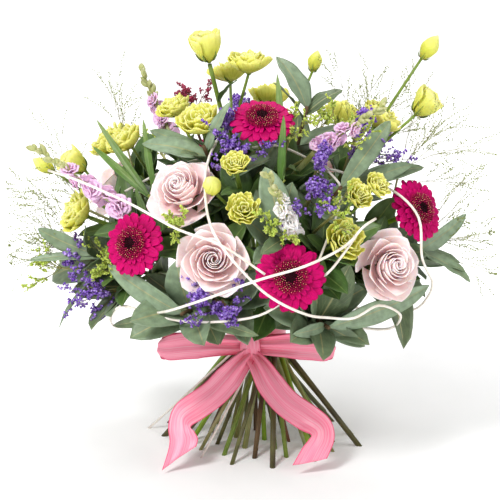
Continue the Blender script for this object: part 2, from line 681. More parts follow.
# Crimson specks of a plume.
plume_finish = living_finish(
    "astilbe_floret", ((0.0, "#7e1a36"), (0.5, "#a81c4c"), (1.0, "#d0406e")),
    "#8c1038", "#d98c9a", veins=4, roughness=0.7, spots=0.3, glow=0.1)
# Leathery grey-green with a pale midrib: a bloom of wax breaks the gleam.
gum_finish = living_finish(
    "eucalyptus_leaf", ((0.0, "#3e4c2c"), (0.5, "#4d5f3c"), (1.0, "#5a6c44")),
    "#8ba184", "#74865e", veins=10, roughness=0.46, spots=0.22, glow=0.06, rib="#9c9a6c")
# Deep green leaves with a waxy gleam.
green_leaf = living_finish(
    "green_leaf", ((0.0, "#2a4218"), (0.5, "#365522"), (1.0, "#436428")),
    "#5f7a42", "#50702f", veins=12, roughness=0.42, spots=0.22, glow=0.06, rib="#7f9652")
# Ribbed blades, fresh green and half see-through.
blade_finish = living_finish(
    "grass_leaf", ((0.0, "#4c6a2a"), (0.6, "#62803a"), (1.0, "#8a9c5a")),
    "#4f7a26", "#93a668", veins=9, roughness=0.5, spots=0.15, glow=0.12)
print("petal and leaf finishes:", len(bpy.data.materials))

# %% [markdown]
# Stems are not one green. Roses and eucalyptus are browner and woody, gerbera and lisianthus stems are fresh
# and smooth. Each is darker on the shaded side of a node and carries fine lengthwise fibres. The florist's
# knife leaves a pale, wet cut end with a ring of bark.

# %% Stem, cane and pollen finishes
def stem_finish(name, low, high, bark, roughness=0.5):
    """A stem's finish: fibres along it, patches of bark, and its own two greens."""
    finish, tree, shader = new_finish(name, Roughness=roughness, Subsurface_Weight=0.05, Subsurface_Scale=MM)
    place = add_node(tree, "UVMap", uv_map="UVMap")
    where = add_node(tree, "TexCoord", out="Object")
    patch = add_node(tree, "TexNoise", {"Vector": where, "Scale": 1 / (22 * MM), "Detail": 3.0})
    green = add_node(tree, "ValToRGB", {"Fac": patch}, ((0.35, low), (0.62, high)))
    fibre = add_node(tree, "VectorMath", {0: place, 1: (26.0, 9.0, 0.0)}, operation="MULTIPLY")
    streak = add_node(tree, "TexNoise", {"Vector": fibre, "Scale": 1.0, "Detail": 4.0})
    dark = add_node(tree, "MapRange", {"Value": streak, 1: 0.48, 2: 0.7, 3: 0.0, 4: 0.75})
    shade = add_node(tree, "Mix", {"Factor": dark, 6: green, 7: tint(bark)}, out=2, data_type="RGBA")
    surface(tree, shader, shade, streak, 0.4, 0.3 * MM)
    return finish


stem_finishes = {
    "rose": stem_finish("rose_stem", "#463f22", "#5f5c2c", "#3c2416"),
    "gerbera": stem_finish("gerbera_stem", "#6f8a1e", "#8db52a", "#5f6a26"),
    "lisianthus": stem_finish("lisianthus_stem", "#66802c", "#86a03c", "#5a5a2a"),
    "stock": stem_finish("stock_stem", "#8a8c4a", "#aeb482", "#6d692f"),
    "eucalyptus": stem_finish("eucalyptus_bark", "#4d3620", "#6d5434", "#33231a", 0.7),
    "sea": stem_finish("sea_lavender_stem", "#4e4a28", "#6c7038", "#4a3a22"),
    "penny": stem_finish("penny_cress_stem", "#8a8c4a", "#a09f62", "#6a5b36"),
    "fountain": stem_finish("fountain_grass_stem", "#8a8c4a", "#a3a272", "#6d592f"),
    "astilbe": stem_finish("astilbe_stem", "#6b4a34", "#8a5b40", "#5a3324"),
    "grass": stem_finish("grass_stem", "#6d7a2c", "#9aa040", "#64702c"),
}


def plain_finish(name, light, dark, grain, roughness, depth=0.2):
    """A finish of two close colours in a fine grain, grain being its size in metres."""
    finish, tree, shader = new_finish(name, Roughness=roughness)
    where = add_node(tree, "TexCoord", out="Object")
    noise = add_node(tree, "TexNoise", {"Vector": where, "Scale": 1 / grain, "Detail": 5.0})
    colour = add_node(tree, "ValToRGB", {"Fac": noise}, ((0.35, dark), (0.65, light)))
    surface(tree, shader, colour, noise, depth, grain * 0.2)
    return finish


cut_finish = plain_finish("cut_stem_end", "#c9bf8a", "#a3955c", 0.8 * MM, 0.6)
cane_finish = plain_finish("peeled_cane", "#fbf6ee", "#e9dfd0", 9 * MM, 0.45, depth=0.15)
pollen_finish = plain_finish("gerbera_pollen", "#f0c890", "#c88a5a", 0.5 * MM, 0.8)
print("stem finishes:", len(stem_finishes))

# %% [markdown]
# The floor is matt paper that glows a little more the further it is from the bouquet, as a lit studio sweep
# does, so the shadow at the foot shows and the rest is white. Satin is woven with long threads across its
# face: the weave is drawn coarser than it is, so that it shows, and the hems are darker. Jute is two plies
# twisted together, dull and rough.

# %% Paper, satin and jute
floor_finish, tree, shader = new_finish("white_paper", Roughness=0.9, Emission_Strength=0.62)
where = add_node(tree, "TexCoord", out="Object")
away = add_node(tree, "VectorMath", {0: where}, out="Value", operation="LENGTH")
share = add_node(tree, "MapRange", {"Value": away, 1: 0.05, 2: 0.9})
glow = add_node(tree, "ValToRGB", {"Fac": share}, ((0.0, "#3c3c3c"), (0.4, "#9c9c9c"), (1.0, "#ffffff")))
tree.links.new(glow, shader.inputs["Emission Color"])
fibre = add_node(tree, "TexNoise", {"Vector": where, "Scale": 1 / (40 * MM), "Detail": 3.0})
white = {"Factor": fibre, 6: tint("#f6f6f6"), 7: tint("#ffffff")}
paper = add_node(tree, "Mix", white, out=2, data_type="RGBA")
tree.links.new(paper, shader.inputs["Base Color"])
floor_mesh.materials.append(floor_finish)

satin, tree, shader = new_finish("satin_ribbon", Roughness=0.42, Sheen_Weight=0.25, Sheen_Roughness=0.4)
place = add_node(tree, "UVMap", uv_map="UVMap")
across = add_node(tree, "SeparateXYZ", {0: place}, out="X")
edge = add_node(tree, "Math", {0: across, 1: 0.5}, operation="SUBTRACT")
edge = add_node(tree, "Math", {0: edge}, operation="ABSOLUTE")
hem = add_node(tree, "MapRange", {"Value": edge, 1: 0.45, 2: 0.475, 3: 0.0, 4: 1.0})
threads = add_node(tree, "VectorMath", {0: place, 1: (26.0, 2.2, 0.0)}, operation="MULTIPLY")
weave = add_node(tree, "TexNoise", {"Vector": threads, "Scale": 1.0, "Detail": 5.0})
pink = add_node(tree, "ValToRGB", {"Fac": weave}, ((0.28, "#fb6f92"), (0.5, "#ff93ae"), (0.72, "#ffbecc")))
hemmed = add_node(tree, "Mix", {"Factor": hem, 6: pink, 7: tint("#ef5a82")}, out=2, data_type="RGBA")
surface(tree, shader, hemmed, weave, 0.15, 0.2 * MM)

jute, tree, shader = new_finish("jute_twine", Roughness=0.9)
place = add_node(tree, "UVMap", uv_map="UVMap")
ply = add_node(tree, "TexWave", {"Vector": place, "Scale": 22.0, "Distortion": 2.0}, out="Fac",
               bands_direction="DIAGONAL")
colour = add_node(tree, "ValToRGB", {"Fac": ply}, ((0.2, "#6f5a38"), (0.8, "#b39a68")))
surface(tree, shader, colour, ply, 0.8, 0.5 * MM)
print("materials:", len(bpy.data.materials))

# %% [markdown]
# ## Making petals, leaves and stems
# Every petal and leaf starts as a flat grid, as it would be cut from paper, and is then bent. A stem is a
# grid rolled round its line and closed along the seam. Tiny florets and pods are drawn once and set out by
# the hundred.

# %% A sheet and a rolled stem
def bend(bm, across, along, shape, tone=0.5):
    """Adds a grid bent by shape(u, v), with u from -1 to 1 across it and v from 0 to 1 along it."""
    layer = bm.loops.layers.uv.get("UVMap") or bm.loops.layers.uv.new("UVMap")
    shade = bm.verts.layers.float.get("tone") or bm.verts.layers.float.new("tone")
    grid = bmesh.ops.create_grid(bm, x_segments=across, y_segments=along, size=1)
    faces = {face for vert in grid["verts"] for face in vert.link_faces}
    for face in faces:
        for loop in face.loops:
            loop[layer].uv = ((loop.vert.co.x + 1) / 2, (loop.vert.co.y + 1) / 2)
    for vert in grid["verts"]:
        vert.co = shape(vert.co.x, (vert.co.y + 1) / 2)
        vert[shade] = tone
    return grid["verts"]


def smooth_line(points, steps):
    """A smooth line through these points, with so many steps between each two."""
    ends = [points[0] * 2 - points[1]] + list(points) + [points[-1] * 2 - points[-2]]
    line = []
    for a, b, c, d in zip(ends, ends[1:], ends[2:], ends[3:]):
        for count in range(steps):
            t = count / steps
            line.append(0.5 * (2 * b + (c - a) * t + (2 * a - 5 * b + 4 * c - d) * t * t
                               + (3 * b - a - 3 * c + d) * t ** 3))
    line.append(points[-1].copy())
    return line


def roll(bm, line, radius, sides=8, tone=0.5, level=False):
    """A round stem along a line. radius(v) is its radius at v from 0 to 1; level cuts its foot off flat."""
    turns = [(line[1] - line[0]).normalized().to_track_quat("Z", "Y")]
    for before, after in zip(line, line[2:] + [line[-1]]):
        run = (after - before).normalized()
        turns.append((turns[-1] @ Vector((0, 0, 1))).rotation_difference(run) @ turns[-1])
    last = len(line) - 1

    def shape(u, v):
        at = round(v * last)
        turn = (u + 1) * math.pi
        across = turns[at] @ Vector((math.cos(turn), math.sin(turn), 0))
        point = line[at] + across * radius(v)
        if level and at == 0:
            run = (line[1] - line[0]).normalized()
            point -= run * (point.z / run.z)
        return point
    verts = bend(bm, sides, last, shape, tone)
    bmesh.ops.remove_doubles(bm, verts=verts, dist=0.002 * MM)


trial = bmesh.new()
bend(trial, 6, 10, lambda u, v: Vector((u, v, 0)))
print("a leaf's grid has", len(trial.faces), "faces")
trial.free()

# %% [markdown]
# A real stem is solid, so its open ends are filled. A floret that is needed hundreds of times is drawn once
# with few faces and copied in. A finished piece rides on the one body that the bouquet has, and says which
# CAD node it stands for. Petals and leaves get their thickness from a Solidify modifier.

# %% Ends, copies and pieces
def close_ends(bm):
    """Fills every open ring of a piece made of stems, and gives back the new faces."""
    edges = [edge for edge in bm.edges if edge.is_boundary]
    return bmesh.ops.holes_fill(bm, edges=edges, sides=0)["faces"]


def copy_in(bm, mesh, matrix, tone=None):
    """Adds a copy of a template in this place, with its own tone where one is given."""
    fresh = mesh.copy()
    fresh.transform(matrix)
    if tone is not None:
        fresh.attributes["tone"].data.foreach_set("value", [tone] * len(fresh.vertices))
    bm.from_mesh(fresh)
    bpy.data.meshes.remove(fresh)


def template(name, draw):
    """A small shape drawn once along +Z, to be set out many times."""
    bm = bmesh.new()
    draw(bm)
    bmesh.ops.recalc_face_normals(bm, faces=bm.faces)
    mesh = bpy.data.meshes.new(name)
    bm.to_mesh(mesh)
    bm.free()
    return mesh


totals = {}


def finish_piece(name, bm, finishes, node, slot, thickness=None):
    """Makes a piece from this mesh, dresses it, and lets it stand for its CAD node."""
    bmesh.ops.recalc_face_normals(bm, faces=bm.faces)
    mesh = bpy.data.meshes.new(name)
    bm.to_mesh(mesh)
    bm.free()
    for finish in finishes:
        mesh.materials.append(finish)
    mesh.shade_smooth()
    piece = bpy.data.objects.new(name, mesh)
    scene.collection.objects.link(piece)
    count = sum(len(face.vertices) - 2 for face in mesh.polygons)
    if thickness:
        shell = piece.modifiers.new("thickness", "SOLIDIFY")
        shell.thickness = thickness
        shell.offset = 0
        count *= 2
    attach(piece, "root")
    if node:
        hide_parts(node)
    totals[name] = count
    return piece


# %% [markdown]
# ## The stems
# Below the ribbon the stems fan out and stand on their cut ends, so each one is seen whole. They run straight
# there, and only above the tie do they bend to their heads. Rose stems carry a few thorns, and the others a
# slight swelling where a leaf was stripped off.

# %% Stems
def stem_curve(name):
    """The smooth line of a stem, straight from its cut end to just above the tie."""
    line = lines[name]
    run = (line[1] - line[0]).normalized()
    foot = line[0] - run * (line[0].z / run.z)
    low = [foot.lerp(line[1], share) for share in (0, 0.25, 0.5, 0.75)]
    return low + smooth_line(line[1:], 6)


def draw_stem(bm, name, draws):
    """A round stem with its stripped nodes, on its own line."""
    curve = stem_curve(name)
    thick = radii[name]
    thin = 0.72 if kind_of(name) in ("sea", "penny", "fountain", "astilbe", "eucalyptus", "grass") else 0.95
    knots = [draws.uniform(0.05, 0.3), draws.uniform(0.4, 0.6), draws.uniform(0.7, 0.9)]

    def radius(v):
        swell = sum(math.exp(-((v - knot) / 0.02) ** 2) for knot in knots)
        return thick * (1 + (thin - 1) * v) * (1 + 0.10 * swell)
    roll(bm, curve, radius, sides=10, level=True)


def stem_piece(name, bm, node, slot="green_stem"):
    """Closes a stem's ends, with the pale cut at its foot, and makes it a piece."""
    for face in close_ends(bm):
        if face.calc_center_median().z < 1 * MM:
            face.material_index = 1
    finish_piece(name, bm, [stem_finishes[kind_of(name)], cut_finish], node, slot)


print("rose_1's stem is drawn through", len(stem_curve("rose_1_stem")), "points")

# %% [markdown]
# A leaf is widest below its middle, tapers to a point, folds up along its midrib and bows outward. Few are
# flat: the edge waves. Where the frame holds a leaf, test points on a trial leaf find its very place.

# %% A leaf
def leaf_form(root, tip, width, outward, bow, wave=0.0):
    """An oval, pointed leaf bowed outward and folded along its midrib, with a waved edge."""
    run = tip - root
    across = run.cross(outward).normalized()
    face = across.cross(run).normalized()

    def shape(u, v):
        half = math.sin(math.pi * v ** 0.88) ** 0.62 * width / 2 if 0 < v < 1 else 0.0
        at = root + run * v + face * (bow * 4 * v * (1 - v) * run.length)
        ripple = wave * math.sin(v * 15 + (2 if u > 0 else 0)) * u * u * (2 * half / width)
        return at + across * u * half + face * (abs(u) * half * 0.22 + ripple)
    return shape


def leaf_probe(root, tip, width, outward, bow):
    """Points of a leaf that lie on the node's surface where the leaf is in its place."""
    shape = leaf_form(root, tip, width, outward, bow)
    return [shape(u, v) for u, v in ((0, 0.45), (0, 0.7), (0, 0.95), (0.8, 0.5), (-0.8, 0.5))]


# %% Leaves on a stem
FIRST_LEAF, LAST_LEAF = 0.45, 0.92  # where leaves stand on a stem, as shares of its way from the tie


def grow_stem_leaves(name, count, length, width):
    """The leaves along a stem above the tie, where the frame holds them."""
    grown = []
    for index in range(count):
        root, rise = point_on(lines[name], FIRST_LEAF + (LAST_LEAF - FIRST_LEAF) * (index + 0.5) / count)

        def place_leaf(choice):
            turn, tilt, shrink = choice
            out = side_way(rise, math.radians(index * GOLDEN_ANGLE + turn))
            out = (out * math.sin(math.radians(tilt)) + rise * math.cos(math.radians(tilt))).normalized()
            return root, root + out * length * shrink * MM, width * shrink * MM, rise, 0.06
        found = best_match(name, lambda choice: leaf_probe(*place_leaf(choice)),
                           [(turn, tilt, shrink) for shrink in (1, 0.85, 0.7) for tilt in (50, 32, 68)
                            for turn in range(0, 360, 24)])
        if found:
            grown.append(place_leaf(found))
    return grown


def draw_leaves(bm, leaves, tone):
    """Adds these leaves, with an edge that waves by 0.8 mm."""
    for leaf in leaves:
        bend(bm, 6, 10, leaf_form(*leaf, 0.8 * MM), tone)


def own_leaves(name, count, length, width, tone):
    """The leaves that the frame shows on this stem, as a piece of their own."""
    grown = grow_stem_leaves(name, count, length, width)
    if grown:
        bm = bmesh.new()
        draw_leaves(bm, grown, tone)
        finish_piece(name + "_leaves", bm, [green_leaf], None, "green_stem", 0.5 * MM)


print("leaves stand from", FIRST_LEAF, "to", LAST_LEAF, "of a stem's way up from the tie")

# %% Rose and gerbera stems
def calyx_sepals(bm, base, draws):
    """The cup that a rose sits on, with five pointed sepals that curl down from it."""
    for index in range(5):
        turn = index * 72 + draws.uniform(-8, 8)

        def shape(u, v):
            half = 2.6 * (1 - v) ** 0.7 * (0.5 + v) + 0.15
            radius = through(3.2, 10.5, 15.0, v)
            height = through(-3.0, -1.6, -5.5, v) - 0.4 * u * u
            angle = math.radians(turn) + u * half / radius
            return ring_point(base, radius, angle, height)
        bend(bm, 2, 5, shape, 0.2)


# The radii of the cup that the bloom sits in, from the stem up.
CUPS = {"rose": (2.5, 2.8, 4.6, 5.6, 5.2, 3.4), "gerbera": (2.3, 2.5, 4.2, 6.0, 6.8, 5.0)}
draws = random.Random(11)
for name in FLOWERS:
    stem = name + "_stem"
    base = flower_base(name)
    cup = CUPS[kind_of(name)]
    bm = bmesh.new()
    draw_stem(bm, stem, draws)
    roll(bm, up_from(base, (-12, -9, -6, -3.6, -1.6, -0.6)), lambda v: cup[round(v * 5)] * MM, sides=12)
    if kind_of(name) == "rose":
        curve = stem_curve(stem)
        for at in range(3, len(curve) - 3, 3):
            run = (curve[at + 1] - curve[at]).normalized()
            out = side_way(run, draws.uniform(0, math.tau))
            thorn = [curve[at] + out * 1.8 * MM, curve[at] + out * 3.4 * MM - run * 0.4 * MM,
                     curve[at] + out * 4.6 * MM - run * 1.6 * MM]
            roll(bm, thorn, lambda v: (1.3 - 1.2 * v) * MM, sides=5)
    stem_piece(name + "_stalk", bm, stem)
    if kind_of(name) == "rose":
        bm = bmesh.new()
        calyx_sepals(bm, base, draws)
        draw_leaves(bm, grow_stem_leaves(stem, 4, 52, 26), 0.1)
        finish_piece(name + "_leaves", bm, [green_leaf], None, "green_stem", 0.5 * MM)
print("rose and gerbera stems:", sum(totals.values()), "triangles")

# %% [markdown]
# ## The roses
# A rose opens from a tight spiral. Its petals stand in rings, each ring turned so that it covers the gaps of
# the one outside it. The inner ones stand up and wrap each other, the outer ones lie back, and their sides
# roll under, which leaves the pointed lip seen in the photograph.

# %% Rose blooms
# Rings of petals, outermost first: how many, then the radius and height of rim, middle and root, half the
# width in degrees, how far the lip's point stands out, and how far its sides roll under, in millimetres for a
# rose of radius 31 mm.
ROSE_RINGS = (
    (5, (31.5, 18.5), (25.0, 10), (5, 2), 45, 4.4, 7.5),
    (5, (25.0, 27.0), (19.5, 15), (6, 4), 47, 3.8, 6.5),
    (4, (17.8, 31.0), (14.6, 20), (6, 6), 57, 2.0, 4.0),
    (4, (12.4, 32.6), (11.0, 22), (5, 8), 66, 1.2, 2.4),
    (3, (8.6, 32.4), (7.9, 23), (4, 10), 80, 0.8, 1.4),
    (3, (5.6, 32.0), (5.4, 24), (3, 12), 95, 0.4, 0.8),
    (2, (3.2, 31.4), (3.2, 24), (2, 14), 130, 0.2, 0.3),
)


def rose_bloom(name, base, size, draws):
    """All the petals of a rose, in rings from the outermost in."""
    bm = bmesh.new()
    k = size / 31 * MM
    drift = draws.uniform(0, math.tau)
    for order, (count, rim, middle, foot, span, point, under) in enumerate(ROSE_RINGS):
        aside = 0.32 * order ** 1.4 * Vector((math.cos(drift), math.sin(drift), 0))
        for index in range(count):
            turn = math.radians(order * 41 + index * 360 / count + draws.uniform(-9, 9))
            wide = math.radians(span * draws.uniform(0.92, 1.1))
            out = draws.uniform(0.95, 1.04)
            lift = draws.uniform(-0.9, 0.9)
            skew = draws.uniform(0.06, 0.15) + 0.035 * order
            tilt = draws.uniform(-0.9, 0.9)
            phase = draws.uniform(0, 6)

            def shape(u, v):
                side = abs(u)
                v = v * (1 - 0.04 * side - 0.12 * side ** 3)
                lip = max((v - 0.62) / 0.38, 0) ** 2
                radius = through(foot[0], middle[0] * out, rim[0] * out, v) * (1 + skew * u)
                radius += lip * (point * (1 - side) ** 1.6 - 0.8 * point * side ** 2
                                 + 0.35 * math.sin(4 * u + phase))
                height = through(foot[1], middle[1], rim[1] + lift, v)
                height += lip * (tilt * u - under * side ** 1.7 - 0.5 * point * (1 - side) ** 2)
                angle = turn + u * wide * through(0.35, 1.0, 0.86, v)
                spot = Vector((radius * math.cos(angle), radius * math.sin(angle), height))
                return base @ ((aside * v + spot) * k)
            bend(bm, 10, 9, shape, 0.85 * (1 - order / 6))
    finish_piece(name + "_petals", bm, [rose_finish], name, "rose_petal", 0.4 * MM)


for name, (_, _, _, size, _) in FLOWERS.items():
    if kind_of(name) == "rose":
        rose_bloom(name, flower_base(name), size, draws)
print("rose_1:", totals["rose_1_petals"], "triangles in", sum(ring[0] for ring in ROSE_RINGS), "petals")

# %% [markdown]
# ## The gerberas
# A gerbera is a head of hundreds of flowers. The broad rays round its edge are one flower each, in two rows,
# with two grooves along each and a blunt tip. Short crimson rays stand within them, and the dark middle is
# packed with florets in a spiral, the outermost tipped with gold pollen.

# %% Disc florets and rays
def draw_disc_floret(bm):
    """A little trumpet 2.4 mm high, closed at both ends."""
    for step in range(5):
        bend(bm, 1, 2, lambda u, v: Vector((0.55 * math.cos((step + u / 2) * math.tau / 5) * (0.5 + 0.6 * v),
                                           0.55 * math.sin((step + u / 2) * math.tau / 5) * (0.5 + 0.6 * v),
                                           2.4 * v)) * MM, 0.5)
    bmesh.ops.remove_doubles(bm, verts=bm.verts, dist=0.03 * MM)
    close_ends(bm)


disc_floret = template("disc_floret", draw_disc_floret)
print("a disc floret has", len(disc_floret.polygons), "faces")


def ray_ring(bm, base, count, inner, outer, height, half, draws, tone, droop=1.0, lift=0.0):
    """A ring of rays from one radius to another, at this height, and half this wide."""
    start = draws.uniform(0, 360)
    for index in range(count):
        turn = math.radians(start + (index + draws.uniform(-0.22, 0.22)) * 360 / count)
        end = outer * draws.uniform(0.93, 1.0)
        fall = draws.uniform(-0.6, 1.6) * droop
        tilt = draws.uniform(-0.5, 0.5)

        def shape(u, v):
            wide = half * math.sin(math.pi * (0.12 + 0.79 * v)) ** 0.55
            reach = inner + (end - inner) * (v - 0.05 * u * u * v)
            up = height + lift * v + 2.0 * math.sin(math.pi * v * 0.6) * droop - (1.4 + fall) * v * v * droop
            up += 0.22 * math.cos(2 * math.pi * u) + 0.5 * u * u * (1 - v) + tilt * u * v
            across = u * wide
            return base @ (Vector((reach * math.cos(turn) - across * math.sin(turn),
                                   reach * math.sin(turn) + across * math.cos(turn), up)) * MM)
        bend(bm, 6, 8, shape, tone)


# %% Gerbera blooms
DISC_FLORETS = 210
DISC_RADIUS = 13.6
SHUT_RADIUS = 4.6  # within this the florets are still shut, and darker


def gerbera_bloom(name, base, size, draws):
    """The two rows of rays, the short inner ones, the florets of the disc and their pollen."""
    k = size / 31
    rays = bmesh.new()
    ray_ring(rays, base, 17, 7, size, 0.6, 5.0 * k, draws, 0.55)
    ray_ring(rays, base, 17, 7, size * 0.96, 2.3, 4.8 * k, draws, 0.3)
    ray_ring(rays, base, 20, 7, size * 0.66, 4.8, 2.6 * k, draws, 0.1, 0.7)
    finish_piece(name + "_rays", rays, [gerbera_finish], name, "gerbera_petal", 0.4 * MM)
    heart = bmesh.new()
    ray_ring(heart, base, 36, 7, 16.0 * k, 6.0, 1.0, draws, 0.0, 0.3, 2.2)
    ray_ring(heart, base, 32, 6, 13.0 * k, 7.0, 0.9, draws, 0.05, 0.3, 2.4)
    finish_piece(name + "_inner_rays", heart, [gerbera_heart], None, "gerbera_petal", 0.3 * MM)
    disc = bmesh.new()
    widths = (2.0, 7.0, 9.5, 8.6, 5.0, 0.6)
    dome = up_from(base, (0.3, 3.0, 6.0, 7.4, 8.4, 8.7))
    roll(disc, dome, lambda v: widths[round(v * 5)] * MM, sides=20, tone=0.9)
    close_ends(disc)
    gold = bmesh.new()
    for index in range(DISC_FLORETS):
        out = DISC_RADIUS * math.sqrt((index + 0.5) / DISC_FLORETS)
        is_open = out > SHUT_RADIUS
        angle = index * math.radians(137.508)
        height = 6.6 + 2.0 * (1 - (out / DISC_RADIUS) ** 2) + (0.9 if is_open else 0)
        height += draws.uniform(-0.3, 0.3)
        lean_out = Vector((math.cos(angle) * out * 0.06, math.sin(angle) * out * 0.06, 1))
        at = Vector((out * math.cos(angle), out * math.sin(angle), height)) * MM
        stand = base @ frame_at(at, lean_out)
        copy_in(disc, disc_floret, stand, draws.uniform(0.0, 0.3) if is_open else 0.98)
        if out > 5.2 and draws.random() < 0.4:
            top = stand @ Matrix.Translation((0, 0, 2.4 * MM))
            bmesh.ops.create_icosphere(gold, subdivisions=1, radius=0.38 * MM, matrix=top)
    finish_piece(name + "_disc", disc, [gerbera_heart], None, "gerbera_petal")
    finish_piece(name + "_pollen", gold, [pollen_finish], None, "gerbera_petal")


for name, (_, _, _, size, _) in FLOWERS.items():
    if kind_of(name) == "gerbera":
        gerbera_bloom(name, flower_base(name), size, draws)
print("gerbera_1:", sum(count for name, count in totals.items() if name.startswith("gerbera_1")), "triangles")

# %% [markdown]
# ## The lisianthus
# Double lisianthus petals are wide and thin, with a frilled edge, in rings about a heart that is still shut.
# The stem branches: open blooms, half-open ones and buds twisted shut like an umbrella all stand on it.

# %% Lisianthus blooms
# Rings of petals: how many, their radii and heights at root, middle and rim, half the width and the start in
# degrees, how frilled they are, and their tone.
FRILLED_RINGS = {
    "tulip": (
        (4, (0.22, 0.80, 0.98), (0.04, 0.9, 1.84), 58, 0, 0.9, 0.5),
        (3, (0.20, 0.66, 0.72), (0.1, 0.95, 1.90), 72, 40, 0.8, 0.3),
        (3, (0.1, 0.42, 0.40), (0.2, 1.0, 1.80), 75, 10, 0.5, 0.1),
    ),
    "bloom": (
        (5, (0.16, 0.78, 1.0), (0.04, 0.40, 0.84), 43, 0, 1.0, 0.7),
        (5, (0.14, 0.60, 0.80), (0.12, 0.50, 0.96), 45, 36, 1.0, 0.5),
        (4, (0.10, 0.44, 0.56), (0.20, 0.62, 1.02), 54, 20, 0.8, 0.25),
        (3, (0.06, 0.26, 0.33), (0.25, 0.64, 1.00), 68, 50, 0.6, 0.1),
        (3, (0.02, 0.12, 0.14), (0.28, 0.62, 0.94), 80, 80, 0.35, 0.0),
    ),
}


def frilled_ring(bm, base, size, count, radii_at, heights_at, span, start, frill, draws, tone):
    """A ring of frilled petals: their radii and heights at root, middle and rim, for a size of 1."""
    for index in range(count):
        turn = math.radians(start + index * 360 / count + draws.uniform(-7, 7))
        waves = draws.uniform(3.2, 5.2)
        phase = draws.uniform(0, 6)
        grow = draws.uniform(0.92, 1.04)
        skew = draws.uniform(0.05, 0.16)

        def shape(u, v):
            v = v * (1 - 0.10 * abs(u) ** 3)
            edge = max((v - 0.35) / 0.65, 0) ** 1.6
            crinkle = 0.32 * frill * edge * edge * math.sin(15 * u + 3 * phase)
            radius = through(*radii_at, v) * size * grow * (1 + skew * u)
            height = through(*heights_at, v) * size * grow
            radius += frill * edge * math.sin(waves * u + phase) + crinkle
            height += frill * 0.8 * edge * math.cos(waves * 1.2 * u + phase) + crinkle
            height -= 0.05 * size * u * u * v
            angle = turn + math.radians(span) * u * through(0.4, 1.0, 0.88, v)
            return ring_point(base, radius, angle, height)
        bend(bm, 14, 6, shape, tone)


def lisianthus_head(bm, form, base, size, draws):
    """A bud twisted shut, or the rings of petals of a half-open or an open bloom."""
    if form == "bud":
        def twisted(u, v):
            shape_at = through(0.15, 1.0, 0.05, v) if v < 0.5 else 1.0 * (1 - ((v - 0.5) / 0.5) ** 1.7) + 0.04
            turn = math.pi * u + 2.4 * v
            radius = size * shape_at * (0.86 + 0.14 * abs(math.sin(2.5 * (math.pi * u))))
            return ring_point(base, radius, turn, size * 3.4 * v)
        bend(bm, 20, 10, twisted, 0.3)
        return
    frill = 1.0 if form == "tulip" else 0.9 + 0.05 * size
    for *ring, share, tone in FRILLED_RINGS[form]:
        frilled_ring(bm, base, size, *ring, frill * share, draws, tone)


print("an open lisianthus has", sum(ring[0] for ring in FRILLED_RINGS["bloom"]), "petals")

# %% [markdown]
# The frame's lisianthus heads are plain cups. Each real head is stood where its own cup is, by trying the
# nudges and sizes that the CAD source tries, and gets a side shoot, a green cup and five slim sepals.

# %% Lisianthus stems
def head_probe(form, where, wide):
    """Points that the frame's own plain head has on its surface."""
    base = head_frame(*where, None, DEPTHS[form] * wide)
    rings = {"bud": ((0.90, 1.4),), "tulip": ((0.80, 1.1), (0.6, 0.38)),
             "bloom": ((0.82, 0.47), (0.56, 0.98)) if wide > 20 else ((0.66, 0.36), (0.98, 0.85))}[form]
    return [base @ (Vector((r * math.cos(turn), r * math.sin(turn), h)) * wide * MM)
            for r, h in rings for turn in [step * math.tau / 8 for step in range(8)]]


missing = []
for name, blooms in LISIANTHUS.items():
    line = lines[name]
    green = bmesh.new()
    draw_stem(green, name, draws)
    petals = bmesh.new()
    for index, (form, azimuth, lean, reach, size) in enumerate(blooms):
        shoot, _ = point_on(line, 1.0 if index == 0 else 0.72 - 0.06 * index)
        sizes = (size, size * 0.88, size * 0.76)
        spots = [(where, wide) for wide in sizes for where in nudges((azimuth, lean, reach))]
        found = best_match(name, lambda spot: head_probe(form, *spot), spots, 3.0)
        if not found:
            missing.append((name, form))
            continue
        where, wide = found
        base = head_frame(*where, None, DEPTHS[form] * wide)
        lisianthus_head(petals, form, base, wide, draws)
        foot = base @ Vector((0, 0, 0.04 * wide * MM))
        side = [shoot, shoot.lerp(foot, 0.5) + (shoot - HEART).normalized() * 1.5 * MM, foot]
        if (foot - shoot).length > 4 * MM:
            roll(green, smooth_line(side, 4), lambda v: (1.9 - 0.6 * v) * MM, sides=8)
        cup = up_from(base, [height * wide for height in (-0.06, 0.03, 0.12, 0.2)])
        roll(green, cup, lambda v: (0.1 + 0.2 * v) * wide * MM, sides=10)
        for sepal in range(5):
            def shape(u, v):
                radius = through(0.22, 0.60, 0.86 if form == "bloom" else 0.8, v) * wide + 0.6
                height = through(0.08, 0.32, 0.62 if form == "bloom" else 1.1, v) * wide
                angle = math.radians(sepal * 72 + 30) + u * 1.3 * (1 - v) / max(radius, 2)
                return ring_point(base, radius, angle, height)
            bend(green, 2, 5, shape, 0.2)
    finish_piece(name + "_petals", petals, [lisianthus_finish], name, "lisianthus_petal", 0.35 * MM)
    stem_piece(name + "_stalk", green, name)
    own_leaves(name, 3, 46, 16, 0.7)
print("lisianthus heads not found in the frame:", missing)

# %% [markdown]
# ## The stocks
# A stock is a spike of small double flowers, each a rosette of crinkled petals, opening from the foot up. The
# tip is still in green bud.

# %% Rosettes and buds
# Rings of petals: how many, their radius and height, half their width and their start in degrees.
ROSETTE_RINGS = ((4, 1.0, 0.42, 50, 0), (4, 0.74, 0.62, 42, 45), (2, 0.36, 0.72, 66, 10))


